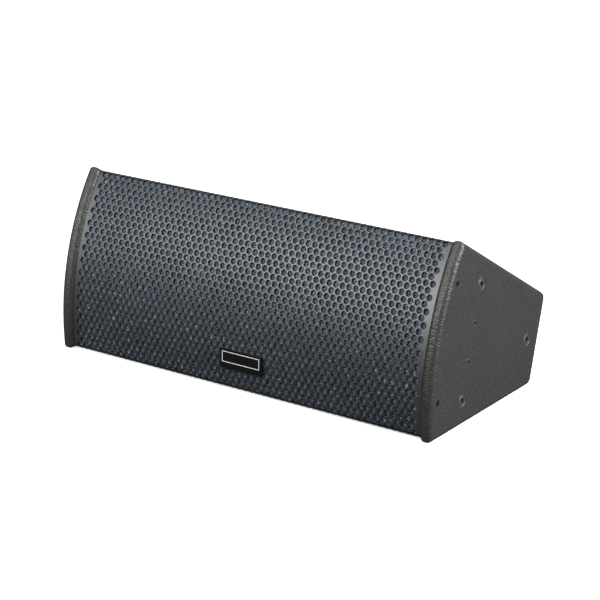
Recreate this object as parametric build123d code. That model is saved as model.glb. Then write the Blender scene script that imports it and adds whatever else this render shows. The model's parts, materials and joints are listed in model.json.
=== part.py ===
from build123d import *

import math
import os

# Stage monitor wedge: a low, wide loudspeaker cabinet that lies on its bottom face and fires
# forwards and up. Millimetres.
#
# Every piece is drawn in the cabinet's own frame, where the wedge is symmetric: X along the
# width, Y from the front edge of the side panels to the back, Z square to the wedge's middle
# plane. STAND_UP then lays the cabinet on its bottom face, with Z up and the origin on the
# floor under the middle of its footprint.

# --- cabinet ---------------------------------------------------------------------------------
WIDTH = 600.0  # over both side panels
FRONT_HEIGHT = 255.0  # chord of the curved front edge of a side panel
DEPTH = 247.0  # from that chord to the rear edge
HALF_WEDGE = 15.0  # each of the top and bottom faces slopes this much, in degrees
FRONT_BULGE = 23.5  # how far the front edge curves out of its chord
SIDE_THICKNESS = 18.0
PANEL_THICKNESS = 15.0
TIP_ROUND = 2.5  # corner radius at the two front tips of a side panel
HEEL_ROUND = 10.0  # corner radius at its two rear corners
ARRIS_ROUND = 7.0  # rounding all round both faces of a side panel
TOP_INSET = 0.8  # the top panel lies this far below the side panels' edge
BOTTOM_INSET = 1.5
BACK_INSET = 6.0

# --- front -----------------------------------------------------------------------------------
GRILLE_INSET = 5.0  # the grille lies this far behind the side panels' front edge
GRILLE_SHEET = 1.2
GRILLE_GAP = 0.4  # between the grille and each side panel
GRILLE_BEND = 5.0
GRILLE_RETURN = 16.0  # depth at which the folded-back top and bottom edges end
FOAM_THICKNESS = 6.0
FOAM_BACK = 3.0  # depth at which the foam's top and bottom edges end
BAFFLE_DEPTH = 14.0  # front face of the baffle
BAFFLE_THICKNESS = 18.0
CLEAT = 20.0
BADGE_WIDTH = 68.0
BADGE_HEIGHT = 27.0
BADGE_SHEET = 2.0
BADGE_X = 6.5
BADGE_RISE = -85.0  # along the grille's curve, below its middle

# --- fixings in the side panels ----------------------------------------------------------------
RIGGING_SQUARE = 150.0  # the three rigging points sit on two sides of this square grid
RIGGING_DEPTH = 62.0
BRACKET_SPACING = 50.0
RIGGING_THREAD_RADIUS = 3.4  # tapping size of M8
RIGGING_THREAD_LENGTH = 16.0
BRACKET_THREAD_RADIUS = 2.5  # tapping size of M6
BRACKET_THREAD_LENGTH = 14.0

# --- woofers ---------------------------------------------------------------------------------
WOOFER_X = 190.0
FLANGE_RADIUS = 84.0
FLANGE_THICKNESS = 4.0
WOOFER_CUTOUT = 73.0
CONE_RADIUS = 57.0
COIL_RADIUS = 19.0  # inside of the voice-coil former
COIL_FORMER = 0.4
COIL_WINDING = 0.6
MAGNET_GAP = 0.5  # clear space on each side of the coil
WOOFER_PLATE_Z = -45.0  # front of the magnet system
WOOFER_SCREW_CIRCLE = 79.0
WOOFER_SCREWS = 6

# --- horn and ports ----------------------------------------------------------------------------
HORN_WIDTH = 108.0
HORN_HEIGHT = 150.0
HORN_WALL = 1.8
HORN_FLANGE = 10.0
HORN_DEPTH = 66.0
THROAT_RADIUS = 12.7
HF_COIL_RADIUS = 21.9
PORT_X = 87.0
PORT_WIDTH = 28.0
PORT_HEIGHT = 124.0
PORT_WALL = 3.0
PORT_LENGTH = 70.0

# --- rear connectors and crossover -------------------------------------------------------------
CONNECTOR_PLATE = 2.0
SOCKET_X = 24.0
SOCKET_RADIUS = 12.0
SOCKET_BORE_RADIUS = 10.0
SOCKET_BORE_DEPTH = 10.5  # the straight mouth that guides a plug's nose
SOCKET_POCKET_RADIUS = 9.2
SOCKET_POCKET_DEPTH = 21.0  # from the mouth to the pocket's floor
SOCKET_CORE_RADIUS = 4.5
SOCKET_CORE_LENGTH = 10.0
CROSSOVER_X = 200.0
BOARD_WIDTH = 140.0
BOARD_HEIGHT = 74.0

# --- worked out --------------------------------------------------------------------------------
SLOPE = math.tan(math.radians(HALF_WEDGE))
SLANT = 1.0 / math.cos(math.radians(HALF_WEDGE))
BACK_HEIGHT = FRONT_HEIGHT - 2.0 * DEPTH * SLOPE
FRONT_RADIUS = (FRONT_HEIGHT**2 / 4.0 + FRONT_BULGE**2) / (2.0 * FRONT_BULGE)
ARC_CENTRE = FRONT_RADIUS - FRONT_BULGE
GRILLE_RADIUS = FRONT_RADIUS - GRILLE_INSET
INNER_WIDTH = WIDTH - 2.0 * SIDE_THICKNESS
BODY_BACK = DEPTH - BACK_INSET
BACK_INSIDE = BODY_BACK - PANEL_THICKNESS
BAFFLE_BACK = BAFFLE_DEPTH + BAFFLE_THICKNESS
RIGGING_BACK_DEPTH = RIGGING_DEPTH + RIGGING_SQUARE
FIT = 0.1  # clear space left round a glued or screwed-in piece
TOP = 1.0
BOTTOM = -1.0
INSET = {TOP: TOP_INSET, BOTTOM: BOTTOM_INSET}
SIDES = {"left": -1.0, "right": 1.0}


# --- shapes used all over ------------------------------------------------------------------------
def face_height(side, depth, below_edge=0.0):
    """Height of a plane lying parallel to the top or bottom edge, that far inside it."""
    return side * (FRONT_HEIGHT / 2.0 - depth * SLOPE - below_edge * SLANT)


def across(sketch, width):
    """Stretch a (depth, height) outline evenly to both sides of the middle."""
    return extrude(Plane.YZ * sketch, amount=width / 2.0, both=True)


def slab(side, below_edge, thickness, front, back, width):
    """A board lying parallel to the top or bottom edge of the wedge."""
    outline = Polygon(
        (front, face_height(side, front, below_edge)),
        (back, face_height(side, back, below_edge)),
        (back, face_height(side, back, below_edge + thickness)),
        (front, face_height(side, front, below_edge + thickness)),
        align=None,
    )
    return across(outline, width)


def inside_height(side, depth):
    """Inner face of the top or bottom panel."""
    return face_height(side, depth, INSET[side] + PANEL_THICKNESS)


def upright(front, back, width):
    """A board standing between the top and bottom panels."""
    outline = Polygon(
        (front, inside_height(TOP, front)),
        (back, inside_height(TOP, back)),
        (back, inside_height(BOTTOM, back)),
        (front, inside_height(BOTTOM, front)),
        align=None,
    )
    return across(outline, width)


def turned(*outline):
    """A round piece from its (radius, height) outline."""
    return revolve(Plane.XZ * Polygon(*outline, align=None), Axis.Z)


def ring(inner, outer, bottom, top):
    """A flat or tall round ring."""
    return turned((inner, bottom), (outer, bottom), (outer, top), (inner, top))


def rod(radius, bottom, top):
    """A solid round bar along Z."""
    return Pos(0, 0, (bottom + top) / 2.0) * Cylinder(radius, top - bottom)


def dome(rim_radius, height, wall, rim_height):
    """A thin spherical cap, bulging towards +Z, with its rim at the given height."""
    sphere_radius = (rim_radius**2 + height**2) / (2.0 * height)
    centre = rim_height + height - sphere_radius
    shell = Circle(sphere_radius) - Circle(sphere_radius - wall)
    keep = Rectangle(rim_radius, 2.0 * sphere_radius, align=(Align.MIN, Align.MIN))
    outline = (Pos(0, centre) * shell) & (Pos(0, rim_height) * keep)
    return revolve(Plane.XZ * outline, Axis.Z)


def screw(head_radius, head_height, shank_radius, length):
    """A pan-head screw with a hexagon socket, standing in a hole along -Z, head above Z = 0."""
    head = rod(head_radius, 0.0, head_height)
    head = chamfer(head.faces().sort_by(Axis.Z)[-1].edges(), head_height * 0.3)
    socket = Pos(0, 0, head_height * 0.4) * extrude(RegularPolygon(head_radius * 0.5, 6), head_height)
    return head + rod(shank_radius, -length, 0.0) - socket


def countersunk_screw(head_radius, head_height, shank_radius, length):
    """A countersunk screw along -Z with its head flush with Z = 0."""
    body = turned(
        (0.0, 0.0),
        (head_radius, 0.0),
        (shank_radius, -head_height),
        (shank_radius, -length),
        (0.0, -length),
    )
    socket = extrude(RegularPolygon(head_radius * 0.45, 6), -head_height * 0.7)
    return body - socket


def around(count, radius, start=0.0):
    """Places evenly round a circle, in the plane Z = 0."""
    angles = [math.radians(start + 360.0 * step / count) for step in range(count)]
    return [Pos(radius * math.cos(angle), radius * math.sin(angle), 0) for angle in angles]


def group(pieces):
    """Several separate solids kept together as one node."""
    return Compound([solid for piece in pieces for solid in piece.solids()])


# --- places --------------------------------------------------------------------------------------
def facing_front(x, depth=BAFFLE_DEPTH, height=0.0):
    """A place on the baffle whose +Z points out of the front."""
    return Pos(x, depth, height) * Rot(90, 0, 0)


def facing_back(x, depth=BODY_BACK, height=0.0):
    """A place on the back panel whose +Z points out of the back."""
    return Pos(x, depth, height) * Rot(-90, 0, 0)


def facing_side(side, depth, height):
    """A place on the outer face of a side panel whose +Z points out of it."""
    return Pos(side * WIDTH / 2.0, depth, height) * Rot(0, side * 90, 0)


def rigging_points():
    """Depth and height of the three big threaded inserts of a side panel."""
    reach = RIGGING_SQUARE / 2.0
    return [(RIGGING_DEPTH, reach), (RIGGING_DEPTH, -reach), (RIGGING_BACK_DEPTH, 0.0)]


def bracket_points():
    """Depth and height of the two small threaded inserts of a side panel."""
    return [(RIGGING_DEPTH, BRACKET_SPACING / 2.0), (RIGGING_DEPTH, -BRACKET_SPACING / 2.0)]


def grille_screw_points():
    """Depth and height of the screws that hold the grille's side tabs."""
    return [(0.0, RIGGING_SQUARE / 2.0), (0.0, -RIGGING_SQUARE / 2.0)]


# --- side panels and their inserts ---------------------------------------------------------------
INSERT_HEAD = 9.5
INSERT_BARREL = 5.6
INSERT_FLANGE = 1.2
BRACKET_HEAD = 5.4
BRACKET_BARREL = 4.0
GRILLE_SCREW_HEAD = 3.6
GRILLE_SCREW_SHANK = 2.0
GRILLE_SCREW_LENGTH = 22.0
GRILLE_SCREW_SINK = 2.4


def side_outline():
    """Side view of the cabinet: curved front, straight top, back and bottom."""
    half_front = FRONT_HEIGHT / 2.0
    half_back = BACK_HEIGHT / 2.0
    front = ThreePointArc((0, half_front), (-FRONT_BULGE, 0), (0, -half_front))
    rest = Polyline((0, -half_front), (DEPTH, -half_back), (DEPTH, half_back), (0, half_front))
    outline = make_face(front + rest)
    tips = outline.vertices().filter_by_position(Axis.X, -1.0, 1.0)
    outline = fillet(tips, TIP_ROUND)
    heels = outline.vertices().filter_by_position(Axis.X, DEPTH - 1.0, DEPTH + 1.0)
    return fillet(heels, HEEL_ROUND)


def side_panel(side):
    """One side panel, rounded all round, with its seats for inserts and grille screws."""
    panel = extrude(Plane.YZ * side_outline(), amount=SIDE_THICKNESS)
    arrises = panel.faces().filter_by(Axis.X).edges()
    panel = fillet(arrises, ARRIS_ROUND)
    panel = Pos(WIDTH / 2.0 - SIDE_THICKNESS if side > 0 else -WIDTH / 2.0, 0, 0) * panel
    for depth, height in rigging_points():
        seat = rod(INSERT_BARREL + FIT, -SIDE_THICKNESS - 1.0, 1.0)
        seat += rod(INSERT_HEAD + FIT, -INSERT_FLANGE, 1.0)
        panel -= facing_side(side, depth, height) * seat
    for depth, height in bracket_points():
        seat = rod(BRACKET_BARREL + FIT, -SIDE_THICKNESS - 1.0, 1.0)
        seat += rod(BRACKET_HEAD + FIT, -1.0, 1.0)
        panel -= facing_side(side, depth, height) * seat
    for depth, height in grille_screw_points():
        seat = rod(GRILLE_SCREW_SHANK + FIT, -SIDE_THICKNESS - 1.0, 1.0)
        seat += turned(
            (0, 1.0),
            (GRILLE_SCREW_HEAD + FIT, 1.0),
            (GRILLE_SCREW_HEAD + FIT, 0.0),
            (GRILLE_SCREW_SHANK + FIT, -GRILLE_SCREW_SINK),
            (0, -GRILLE_SCREW_SINK),
        )
        panel -= facing_side(side, depth, height) * seat
    return panel


def rigging_insert():
    """A flanged M8 sleeve, flush with the panel, with a shallow dish round its mouth."""
    return turned(
        (RIGGING_THREAD_RADIUS, 0.0),
        (INSERT_BARREL, 0.0),
        (INSERT_BARREL + 1.2, -0.7),
        (INSERT_HEAD - 1.2, -0.7),
        (INSERT_HEAD - 0.6, 0.0),
        (INSERT_HEAD, -0.3),
        (INSERT_HEAD, -INSERT_FLANGE),
        (INSERT_BARREL, -INSERT_FLANGE),
        (INSERT_BARREL, -SIDE_THICKNESS),
        (0.0, -SIDE_THICKNESS),
        (0.0, -RIGGING_THREAD_LENGTH),
        (RIGGING_THREAD_RADIUS, -RIGGING_THREAD_LENGTH),
    )


def bracket_insert():
    """A flanged M6 sleeve, flush with the panel."""
    return turned(
        (BRACKET_THREAD_RADIUS, 0.0),
        (BRACKET_HEAD - 0.4, 0.0),
        (BRACKET_HEAD, -0.4),
        (BRACKET_HEAD, -1.0),
        (BRACKET_BARREL, -1.0),
        (BRACKET_BARREL, -SIDE_THICKNESS),
        (0.0, -SIDE_THICKNESS),
        (0.0, -BRACKET_THREAD_LENGTH),
        (BRACKET_THREAD_RADIUS, -BRACKET_THREAD_LENGTH),
    )


def side_fixings(piece, points):
    """The same fixing at each of its points on both side panels."""
    places = [facing_side(side, *point) for side in SIDES.values() for point in points]
    return group(place * piece for place in places)


# --- box panels ----------------------------------------------------------------------------------
NOSE_DEPTH = 10.5  # front edge of the top and bottom panels, behind the grille's bends
REBATE = GRILLE_SHEET + 0.3
BACK_OPENING_WIDTH = 82.0
BACK_OPENING_HEIGHT = 42.0
BRACE_X = 112.0
BRACE_THICKNESS = 12.0
BRACE_WINDOW_LENGTH = 116.0
BRACE_WINDOW_HEIGHT = 64.0
BRACE_WINDOW_ROUND = 20.0
PILOT_DEPTH = 15.0  # blind holes for the wood screws of the drivers
CONNECTOR_SHANK = 1.6
WOOFER_SHANK = 1.9
HORN_SHANK = 1.5


def long_panel(side):
    """Top or bottom panel, its front edge rebated so that the folded grille edge lies flush."""
    panel = slab(side, INSET[side], PANEL_THICKNESS, NOSE_DEPTH, BODY_BACK, INNER_WIDTH)
    rebate = slab(side, INSET[side] - 1.0, REBATE + 1.0, -20.0, GRILLE_RETURN + 0.5, WIDTH)
    return panel - rebate


def back_panel():
    """Back board between the top and bottom panels, cut out for the two sockets."""
    panel = upright(BACK_INSIDE, BODY_BACK, INNER_WIDTH)
    panel -= Pos(0, BODY_BACK, 0) * Box(BACK_OPENING_WIDTH, 3 * PANEL_THICKNESS, BACK_OPENING_HEIGHT)
    for place in connector_screw_places():
        panel -= facing_back(0) * place * rod(CONNECTOR_SHANK + FIT, -PANEL_THICKNESS + 1.0, 1.0)
    return panel


def front_baffle():
    """Flat board that carries the two woofers, the horn and the two ports."""
    board = upright(BAFFLE_DEPTH, BAFFLE_BACK, INNER_WIDTH)
    through = 3.0 * BAFFLE_THICKNESS
    for side in SIDES.values():
        board -= facing_front(side * WOOFER_X) * rod(WOOFER_CUTOUT, -through, 1.0)
        for place in woofer_screw_places():
            board -= facing_front(side * WOOFER_X) * place * rod(WOOFER_SHANK + FIT, -PILOT_DEPTH, 1.0)
        clear = 2.0 * (PORT_WALL + FIT)
        opening = Box(PORT_WIDTH + clear, PORT_HEIGHT + clear, through)
        board -= facing_front(side * PORT_X) * opening
    clear = 2.0 * HORN_WALL + 1.0
    board -= facing_front(0) * Box(HORN_WIDTH + clear, HORN_HEIGHT + clear, through)
    for place in horn_screw_places():
        board -= facing_front(0) * place * rod(HORN_SHANK + FIT, -PILOT_DEPTH, 1.0)
    return board


def baffle_cleats():
    """Four battens glued behind the edges of the baffle."""
    lengthwise = INNER_WIDTH - 2.0 * CLEAT - 2.0
    back = BAFFLE_BACK + CLEAT
    long_cleats = [
        slab(side, INSET[side] + PANEL_THICKNESS, CLEAT, BAFFLE_BACK, back, lengthwise)
        for side in (TOP, BOTTOM)
    ]
    short = upright(BAFFLE_BACK, back, CLEAT)
    reach = (INNER_WIDTH - CLEAT) / 2.0
    return group(long_cleats + [Pos(side * reach, 0, 0) * short for side in SIDES.values()])


def brace(side):
    """Upright rib that ties the top, bottom and back panels, with a window to let air through."""
    rib = upright(BAFFLE_BACK + CLEAT + 1.0, BACK_INSIDE, BRACE_THICKNESS)
    middle = (BAFFLE_BACK + CLEAT + BACK_INSIDE) / 2.0
    hole = RectangleRounded(BRACE_WINDOW_LENGTH, BRACE_WINDOW_HEIGHT, BRACE_WINDOW_ROUND)
    window = extrude(Plane.YZ * Pos(middle, 0) * hole, BRACE_THICKNESS, both=True)
    return Pos(side * BRACE_X, 0, 0) * (rib - window)


# --- grille, foam and badge ----------------------------------------------------------------------
BADGE_STUD_SPACING = 50.0
BADGE_STUD_RADIUS = 1.5
BADGE_STUD_LENGTH = 5.0
BADGE_CORNER = 2.0
FOAM_EDGE_GAP = 3.0  # between the foam and the grille's folded edges
FOAM_SIDE_GAP = 4.0
TAB_LENGTH = 16.0
TAB_HEIGHT = 18.0
TAB_SHEET = 2.4


def front_region(radius, below_edge):
    """Everything behind a curved front and between two planes inside the wedge's edges."""
    near = -2.0 * FRONT_BULGE
    wedge = Polygon(
        (near, face_height(TOP, near, below_edge[TOP])),
        (DEPTH, face_height(TOP, DEPTH, below_edge[TOP])),
        (DEPTH, face_height(BOTTOM, DEPTH, below_edge[BOTTOM])),
        (near, face_height(BOTTOM, near, below_edge[BOTTOM])),
        align=None,
    )
    return (Pos(ARC_CENTRE, 0) * Circle(radius)) & wedge


def front_of(depth):
    """Side-view region in front of a depth."""
    region = Rectangle(DEPTH, 2 * FRONT_HEIGHT, align=(Align.MIN, Align.CENTER))
    return Pos(depth - DEPTH, 0) * region


def grille_place():
    """Middle of the badge on the grille's outer surface, +Z pointing out of the front."""
    angle = math.degrees(BADGE_RISE / GRILLE_RADIUS)
    centre = Pos(BADGE_X, ARC_CENTRE, 0) * Rot(-angle, 0, 0)
    return centre * Pos(0, -GRILLE_RADIUS, 0) * Rot(90, 0, 0)


def badge_stud_holes(radius):
    """Cutters for the two studs of the badge."""
    reach = BADGE_STUD_SPACING / 2.0
    return [grille_place() * Pos(x, 0, 0) * rod(radius, -20.0, 5.0) for x in (-reach, reach)]


def grille():
    """Curved steel sheet, folded back at the top and bottom, with four tabs for its screws."""
    outer = front_region(GRILLE_RADIUS, INSET)
    corners = outer.vertices().filter_by_position(Axis.X, -FRONT_BULGE, FRONT_BULGE)
    outer = fillet(corners, GRILLE_BEND)
    sheet = outer - offset(outer, -GRILLE_SHEET)
    width = INNER_WIDTH - 2 * GRILLE_GAP
    folded = across(sheet & front_of(GRILLE_RETURN), width)
    for cutter in badge_stud_holes(BADGE_STUD_RADIUS + 2.0 * FIT):
        folded -= cutter
    tab = Pos(-6.0, 0) * Rectangle(TAB_LENGTH, TAB_HEIGHT)
    behind = front_region(GRILLE_RADIUS - 2.0 * FIT, INSET)
    for side in SIDES.values():
        for depth, height in grille_screw_points():
            plate = across((Pos(depth, height) * tab) & behind, TAB_SHEET)
            plate = Pos(side * (width - TAB_SHEET) / 2.0, 0, 0) * plate
            plate -= facing_side(side, depth, height) * rod(GRILLE_SCREW_SHANK + FIT, -40.0, 0.0)
            folded += plate
    return folded


def grille_foam():
    """Acoustic foam that lines the back of the grille."""
    gap = {side: INSET[side] + GRILLE_SHEET + FOAM_EDGE_GAP for side in INSET}
    radius = GRILLE_RADIUS - GRILLE_SHEET - 3.0 * FIT
    lining = front_region(radius, gap) - front_region(radius - FOAM_THICKNESS, gap)
    foam = across(lining & front_of(FOAM_BACK), INNER_WIDTH - 2.0 * (GRILLE_GAP + FOAM_SIDE_GAP))
    for cutter in badge_stud_holes(BADGE_STUD_RADIUS + 4.0 * FIT):
        foam -= cutter
    return foam


def badge_plate():
    """Bare plate on two studs; its flat back just touches the curved grille."""
    plate = extrude(RectangleRounded(BADGE_WIDTH, BADGE_HEIGHT, BADGE_CORNER), BADGE_SHEET)
    plate = Pos(0, 0, FIT / 2.0) * chamfer(plate.faces().sort_by(Axis.Z)[-1].edges(), 0.5)
    for x in (-BADGE_STUD_SPACING / 2.0, BADGE_STUD_SPACING / 2.0):
        plate += Pos(x, 0, 0) * rod(BADGE_STUD_RADIUS, -BADGE_STUD_LENGTH, 0.5)
    return grille_place() * plate


# --- woofers -------------------------------------------------------------------------------------
FORMER_OUTER = COIL_RADIUS + COIL_FORMER
WINDING_OUTER = FORMER_OUTER + COIL_WINDING
PLATE_INNER = WINDING_OUTER + MAGNET_GAP
TOP_PLATE_BACK = WOOFER_PLATE_Z - 6.0
MAGNET_BACK = TOP_PLATE_BACK - 18.0
YOKE_BACK = MAGNET_BACK - 7.0
SPIDER_Z = -33.0
SPIDER_CLOTH = 0.6
SPIDER_RADIUS = 50.0
SPIDER_WAVES = 5
SPIDER_WAVE_HEIGHT = 1.3
SPIDER_WAVE_END = 44.0
LEDGE_RADIUS = 44.3
SURROUND_OUTER = 68.0
SURROUND_CLOTH = 0.8
CONE_PAPER = 0.8
CONE_NECK_Z = -26.8
FRAME_FOOT = 55.0  # radius of the basket's foot and of the magnet's plates
FRAME_WINDOWS = 6
FRAME_WINDOW_RADIUS = 62.0
FRAME_WINDOW_WIDTH = 36.0
FRAME_WINDOW_Z = -17.0
MAGNET_RADIUS = 60.0
YOKE_VENT = 5.0
COIL_BACK_Z = -56.0


def woofer_screw_places():
    """Screw places round the woofer's flange."""
    return around(WOOFER_SCREWS, WOOFER_SCREW_CIRCLE, 30.0)


def woofer_basket():
    """Cast frame: flange, conical wall with six windows, ledge for the spider and a base."""
    frame = turned(
        (SURROUND_OUTER, FLANGE_THICKNESS),
        (FLANGE_RADIUS, FLANGE_THICKNESS),
        (FLANGE_RADIUS, 0.0),
        (WOOFER_CUTOUT - 0.5, 0.0),
        (FRAME_FOOT, -34.0),
        (FRAME_FOOT, WOOFER_PLATE_Z),
        (24.0, WOOFER_PLATE_Z),
        (24.0, WOOFER_PLATE_Z + 3.0),
        (51.5, WOOFER_PLATE_Z + 3.0),
        (51.5, SPIDER_Z - 5.0),
        (LEDGE_RADIUS, SPIDER_Z - 5.0),
        (LEDGE_RADIUS, SPIDER_Z - SPIDER_CLOTH),
        (SPIDER_RADIUS + 1.0, SPIDER_Z - SPIDER_CLOTH),
        (SURROUND_OUTER + 1.0, 0.0),
    )
    window = Pos(FRAME_WINDOW_RADIUS, 0, FRAME_WINDOW_Z) * Box(34.0, FRAME_WINDOW_WIDTH, 22.0)
    for step in range(FRAME_WINDOWS):
        frame -= Rot(0, 0, step * 360.0 / FRAME_WINDOWS) * window
    for place in woofer_screw_places():
        frame -= place * rod(2.1, -1.0, 6.0)
    return frame


def woofer_gasket():
    """Flat ring on top of the surround's outer land."""
    return ring(69.0, 74.0, FLANGE_THICKNESS + 0.9, FLANGE_THICKNESS + 3.0)


def woofer_surround():
    """Half-roll edge between the flange and the cone."""
    middle = Pos((SURROUND_OUTER + CONE_RADIUS) / 2.0, FLANGE_THICKNESS)
    radius = (SURROUND_OUTER - CONE_RADIUS) / 2.0
    half = SURROUND_CLOTH / 2.0
    tube = middle * (Circle(radius + half) - Circle(radius - half))
    front = middle * Rectangle(4.0 * radius, 4.0 * radius, align=(Align.CENTER, Align.MIN))
    corner = (Align.MIN, Align.MIN)
    land = Rectangle(6.4, SURROUND_CLOTH, align=corner)
    lip = Rectangle(3.0 + half, SURROUND_CLOTH, align=corner)
    outline = tube & front
    outline += Pos(SURROUND_OUTER - half, FLANGE_THICKNESS) * land
    outline += Pos(CONE_RADIUS - 3.0, FLANGE_THICKNESS) * lip
    return revolve(Plane.XZ * outline, Axis.Z)


def woofer_cone():
    """Paper cone with a flat glue edge and a neck that fits the former."""
    return turned(
        (CONE_RADIUS - 3.0, FLANGE_THICKNESS),
        (CONE_RADIUS, FLANGE_THICKNESS),
        (CONE_RADIUS, FLANGE_THICKNESS - CONE_PAPER),
        (CONE_RADIUS - 2.4, FLANGE_THICKNESS - CONE_PAPER),
        (FORMER_OUTER + 0.95, CONE_NECK_Z),
        (FORMER_OUTER + 0.05, CONE_NECK_Z),
        (FORMER_OUTER + 0.05, CONE_NECK_Z + CONE_PAPER),
    )


def woofer_dust_cap():
    """Domed cap over the middle of the cone."""
    return dome(24.0, 7.0, 0.6, -21.2)


def woofer_voice_coil():
    """Former with its winding at the height of the magnet gap."""
    former = ring(COIL_RADIUS, FORMER_OUTER, COIL_BACK_Z, CONE_NECK_Z + 4.3)
    return former + ring(COIL_RADIUS + 0.1, WINDING_OUTER, COIL_BACK_Z + 2.0, COIL_BACK_Z + 14.0)


def woofer_spider():
    """Corrugated disc that centres the former."""
    start = FORMER_OUTER + FIT
    steps = SPIDER_WAVES * 8
    upper = []
    for step in range(steps + 1):
        share = step / steps
        radius = start + (SPIDER_WAVE_END - start) * share
        wave = math.sin(2.0 * math.pi * SPIDER_WAVES * share)
        upper.append((radius, SPIDER_Z + SPIDER_WAVE_HEIGHT * wave))
    upper.append((SPIDER_RADIUS, SPIDER_Z))
    lower = [(radius, height - SPIDER_CLOTH) for radius, height in reversed(upper)]
    return turned(*upper, *lower)


def woofer_top_plate():
    """Front plate of the magnet system."""
    return ring(PLATE_INNER, FRAME_FOOT, TOP_PLATE_BACK, WOOFER_PLATE_Z)


def woofer_magnet():
    """Ferrite ring."""
    return ring(28.0, MAGNET_RADIUS, MAGNET_BACK, TOP_PLATE_BACK)


def woofer_yoke():
    """Back plate with its pole, vented through the middle."""
    return turned(
        (YOKE_VENT, YOKE_BACK),
        (FRAME_FOOT, YOKE_BACK),
        (FRAME_FOOT, MAGNET_BACK),
        (COIL_RADIUS - MAGNET_GAP, MAGNET_BACK),
        (COIL_RADIUS - MAGNET_GAP, WOOFER_PLATE_Z),
        (YOKE_VENT, WOOFER_PLATE_Z),
    )


def woofer_screws():
    """Pan-head screws through the flanges of both woofers."""
    fastener = Pos(0, 0, FLANGE_THICKNESS) * screw(3.8, 2.4, WOOFER_SHANK, 18.0)
    return group(
        facing_front(side * WOOFER_X) * place * fastener
        for side in SIDES.values()
        for place in woofer_screw_places()
    )


TERMINAL_LENGTH = 12.0
TERMINAL_WIDTH = 14.0
TERMINAL_HEIGHT = 6.0
TERMINAL_DEPTH = 41.0  # its middle, behind the baffle's face


def woofer_terminals():
    """A small terminal block on the foot of each basket, towards the cabinet's middle."""
    block = Box(TERMINAL_LENGTH, TERMINAL_WIDTH, TERMINAL_HEIGHT)
    reach = FRAME_FOOT + 2.0 * FIT + TERMINAL_LENGTH / 2.0
    return group(
        facing_front(side * (WOOFER_X - reach)) * Pos(0, 0, -TERMINAL_DEPTH) * block
        for side in SIDES.values()
    )


# --- horn and compression driver -----------------------------------------------------------------
HORN_FLANGE_SHEET = 4.0
THROAT_FLANGE = 6.0
HF_FRONT = -HORN_DEPTH - THROAT_FLANGE
HF_PLATE_BACK = HF_FRONT - 7.0
HF_MAGNET_BACK = HF_PLATE_BACK - 13.0
HF_TOP_BACK = HF_MAGNET_BACK - 6.0
HF_BOLT_CIRCLE = 24.0
HF_BOLT_RADIUS = 3.0
HF_PLATE_RADIUS = 42.0
HF_MAGNET_RADIUS = 45.0
HF_FORMER = 0.4
HF_RIM_RADIUS = 34.0
HF_COVER_RADIUS = 40.0
PLUG_RADIUS = 13.6
POLE_BORE = 16.5


def horn_screw_places():
    """Screw places round the horn's flange."""
    x = (HORN_WIDTH + HORN_FLANGE) / 2.0 + 0.5
    y = (HORN_HEIGHT + HORN_FLANGE) / 2.0
    return [Pos(a * x, b * y, 0) for a in (-1, 1) for b in (-1, 0, 1)]


def horn_flare():
    """Moulded horn: flange, flare from a wide mouth to a round throat, and throat flange."""
    throat_plane = Plane.XY.offset(-HORN_DEPTH)
    mouth = RectangleRounded(HORN_WIDTH, HORN_HEIGHT, 8.0)
    wall = 2.0 * HORN_WALL
    outer_mouth = RectangleRounded(HORN_WIDTH + wall, HORN_HEIGHT + wall, 9.0)
    outer = loft([throat_plane * Circle(THROAT_RADIUS + 3.0), outer_mouth])
    inner = loft([throat_plane * Circle(THROAT_RADIUS), mouth])
    border = 2.0 * HORN_FLANGE
    rim = RectangleRounded(HORN_WIDTH + border, HORN_HEIGHT + border, 8.0)
    flange = extrude(rim - mouth, HORN_FLANGE_SHEET)
    throat = ring(THROAT_RADIUS, 32.0, HF_FRONT, -HORN_DEPTH)
    horn = (outer - inner) + flange + throat
    for place in horn_screw_places():
        horn -= place * rod(HORN_SHANK + 2.0 * FIT, -1.0, HORN_FLANGE_SHEET + 1.0)
    for place in around(2, HF_BOLT_CIRCLE, 90.0):
        horn -= place * rod(HF_BOLT_RADIUS + FIT, HF_FRONT - 1.0, -HORN_DEPTH + 1.0)
    return facing_front(0) * horn


def horn_screws():
    """Pan-head screws through the horn's flange."""
    fastener = Pos(0, 0, HORN_FLANGE_SHEET) * screw(3.2, 2.2, HORN_SHANK, 18.0)
    return group(facing_front(0) * place * fastener for place in horn_screw_places())


def hf_bolts():
    """Two bolts that clamp the compression driver to the throat flange."""
    bolt = Pos(0, 0, -HORN_DEPTH) * screw(5.0, 3.5, HF_BOLT_RADIUS, THROAT_FLANGE + 5.0)
    return group(facing_front(0) * place * bolt for place in around(2, HF_BOLT_CIRCLE, 90.0))


def hf_pole_plate():
    """Front plate of the compression driver with its hollow pole."""
    plate = turned(
        (THROAT_RADIUS, HF_FRONT),
        (HF_PLATE_RADIUS, HF_FRONT),
        (HF_PLATE_RADIUS, HF_PLATE_BACK),
        (HF_COIL_RADIUS - MAGNET_GAP, HF_PLATE_BACK),
        (HF_COIL_RADIUS - MAGNET_GAP, HF_TOP_BACK),
        (POLE_BORE, HF_TOP_BACK),
    )
    for place in around(2, HF_BOLT_CIRCLE, 90.0):
        plate -= place * rod(HF_BOLT_RADIUS + FIT, HF_FRONT - 5.2, HF_FRONT + 1.0)
    return facing_front(0) * plate


def hf_magnet():
    """Ring magnet of the compression driver."""
    return facing_front(0) * ring(26.0, HF_MAGNET_RADIUS, HF_MAGNET_BACK, HF_PLATE_BACK)


def hf_top_plate():
    """Rear plate of the magnet gap."""
    inner = HF_COIL_RADIUS + HF_FORMER + MAGNET_GAP
    return facing_front(0) * ring(inner, HF_PLATE_RADIUS, HF_TOP_BACK, HF_MAGNET_BACK)


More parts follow.
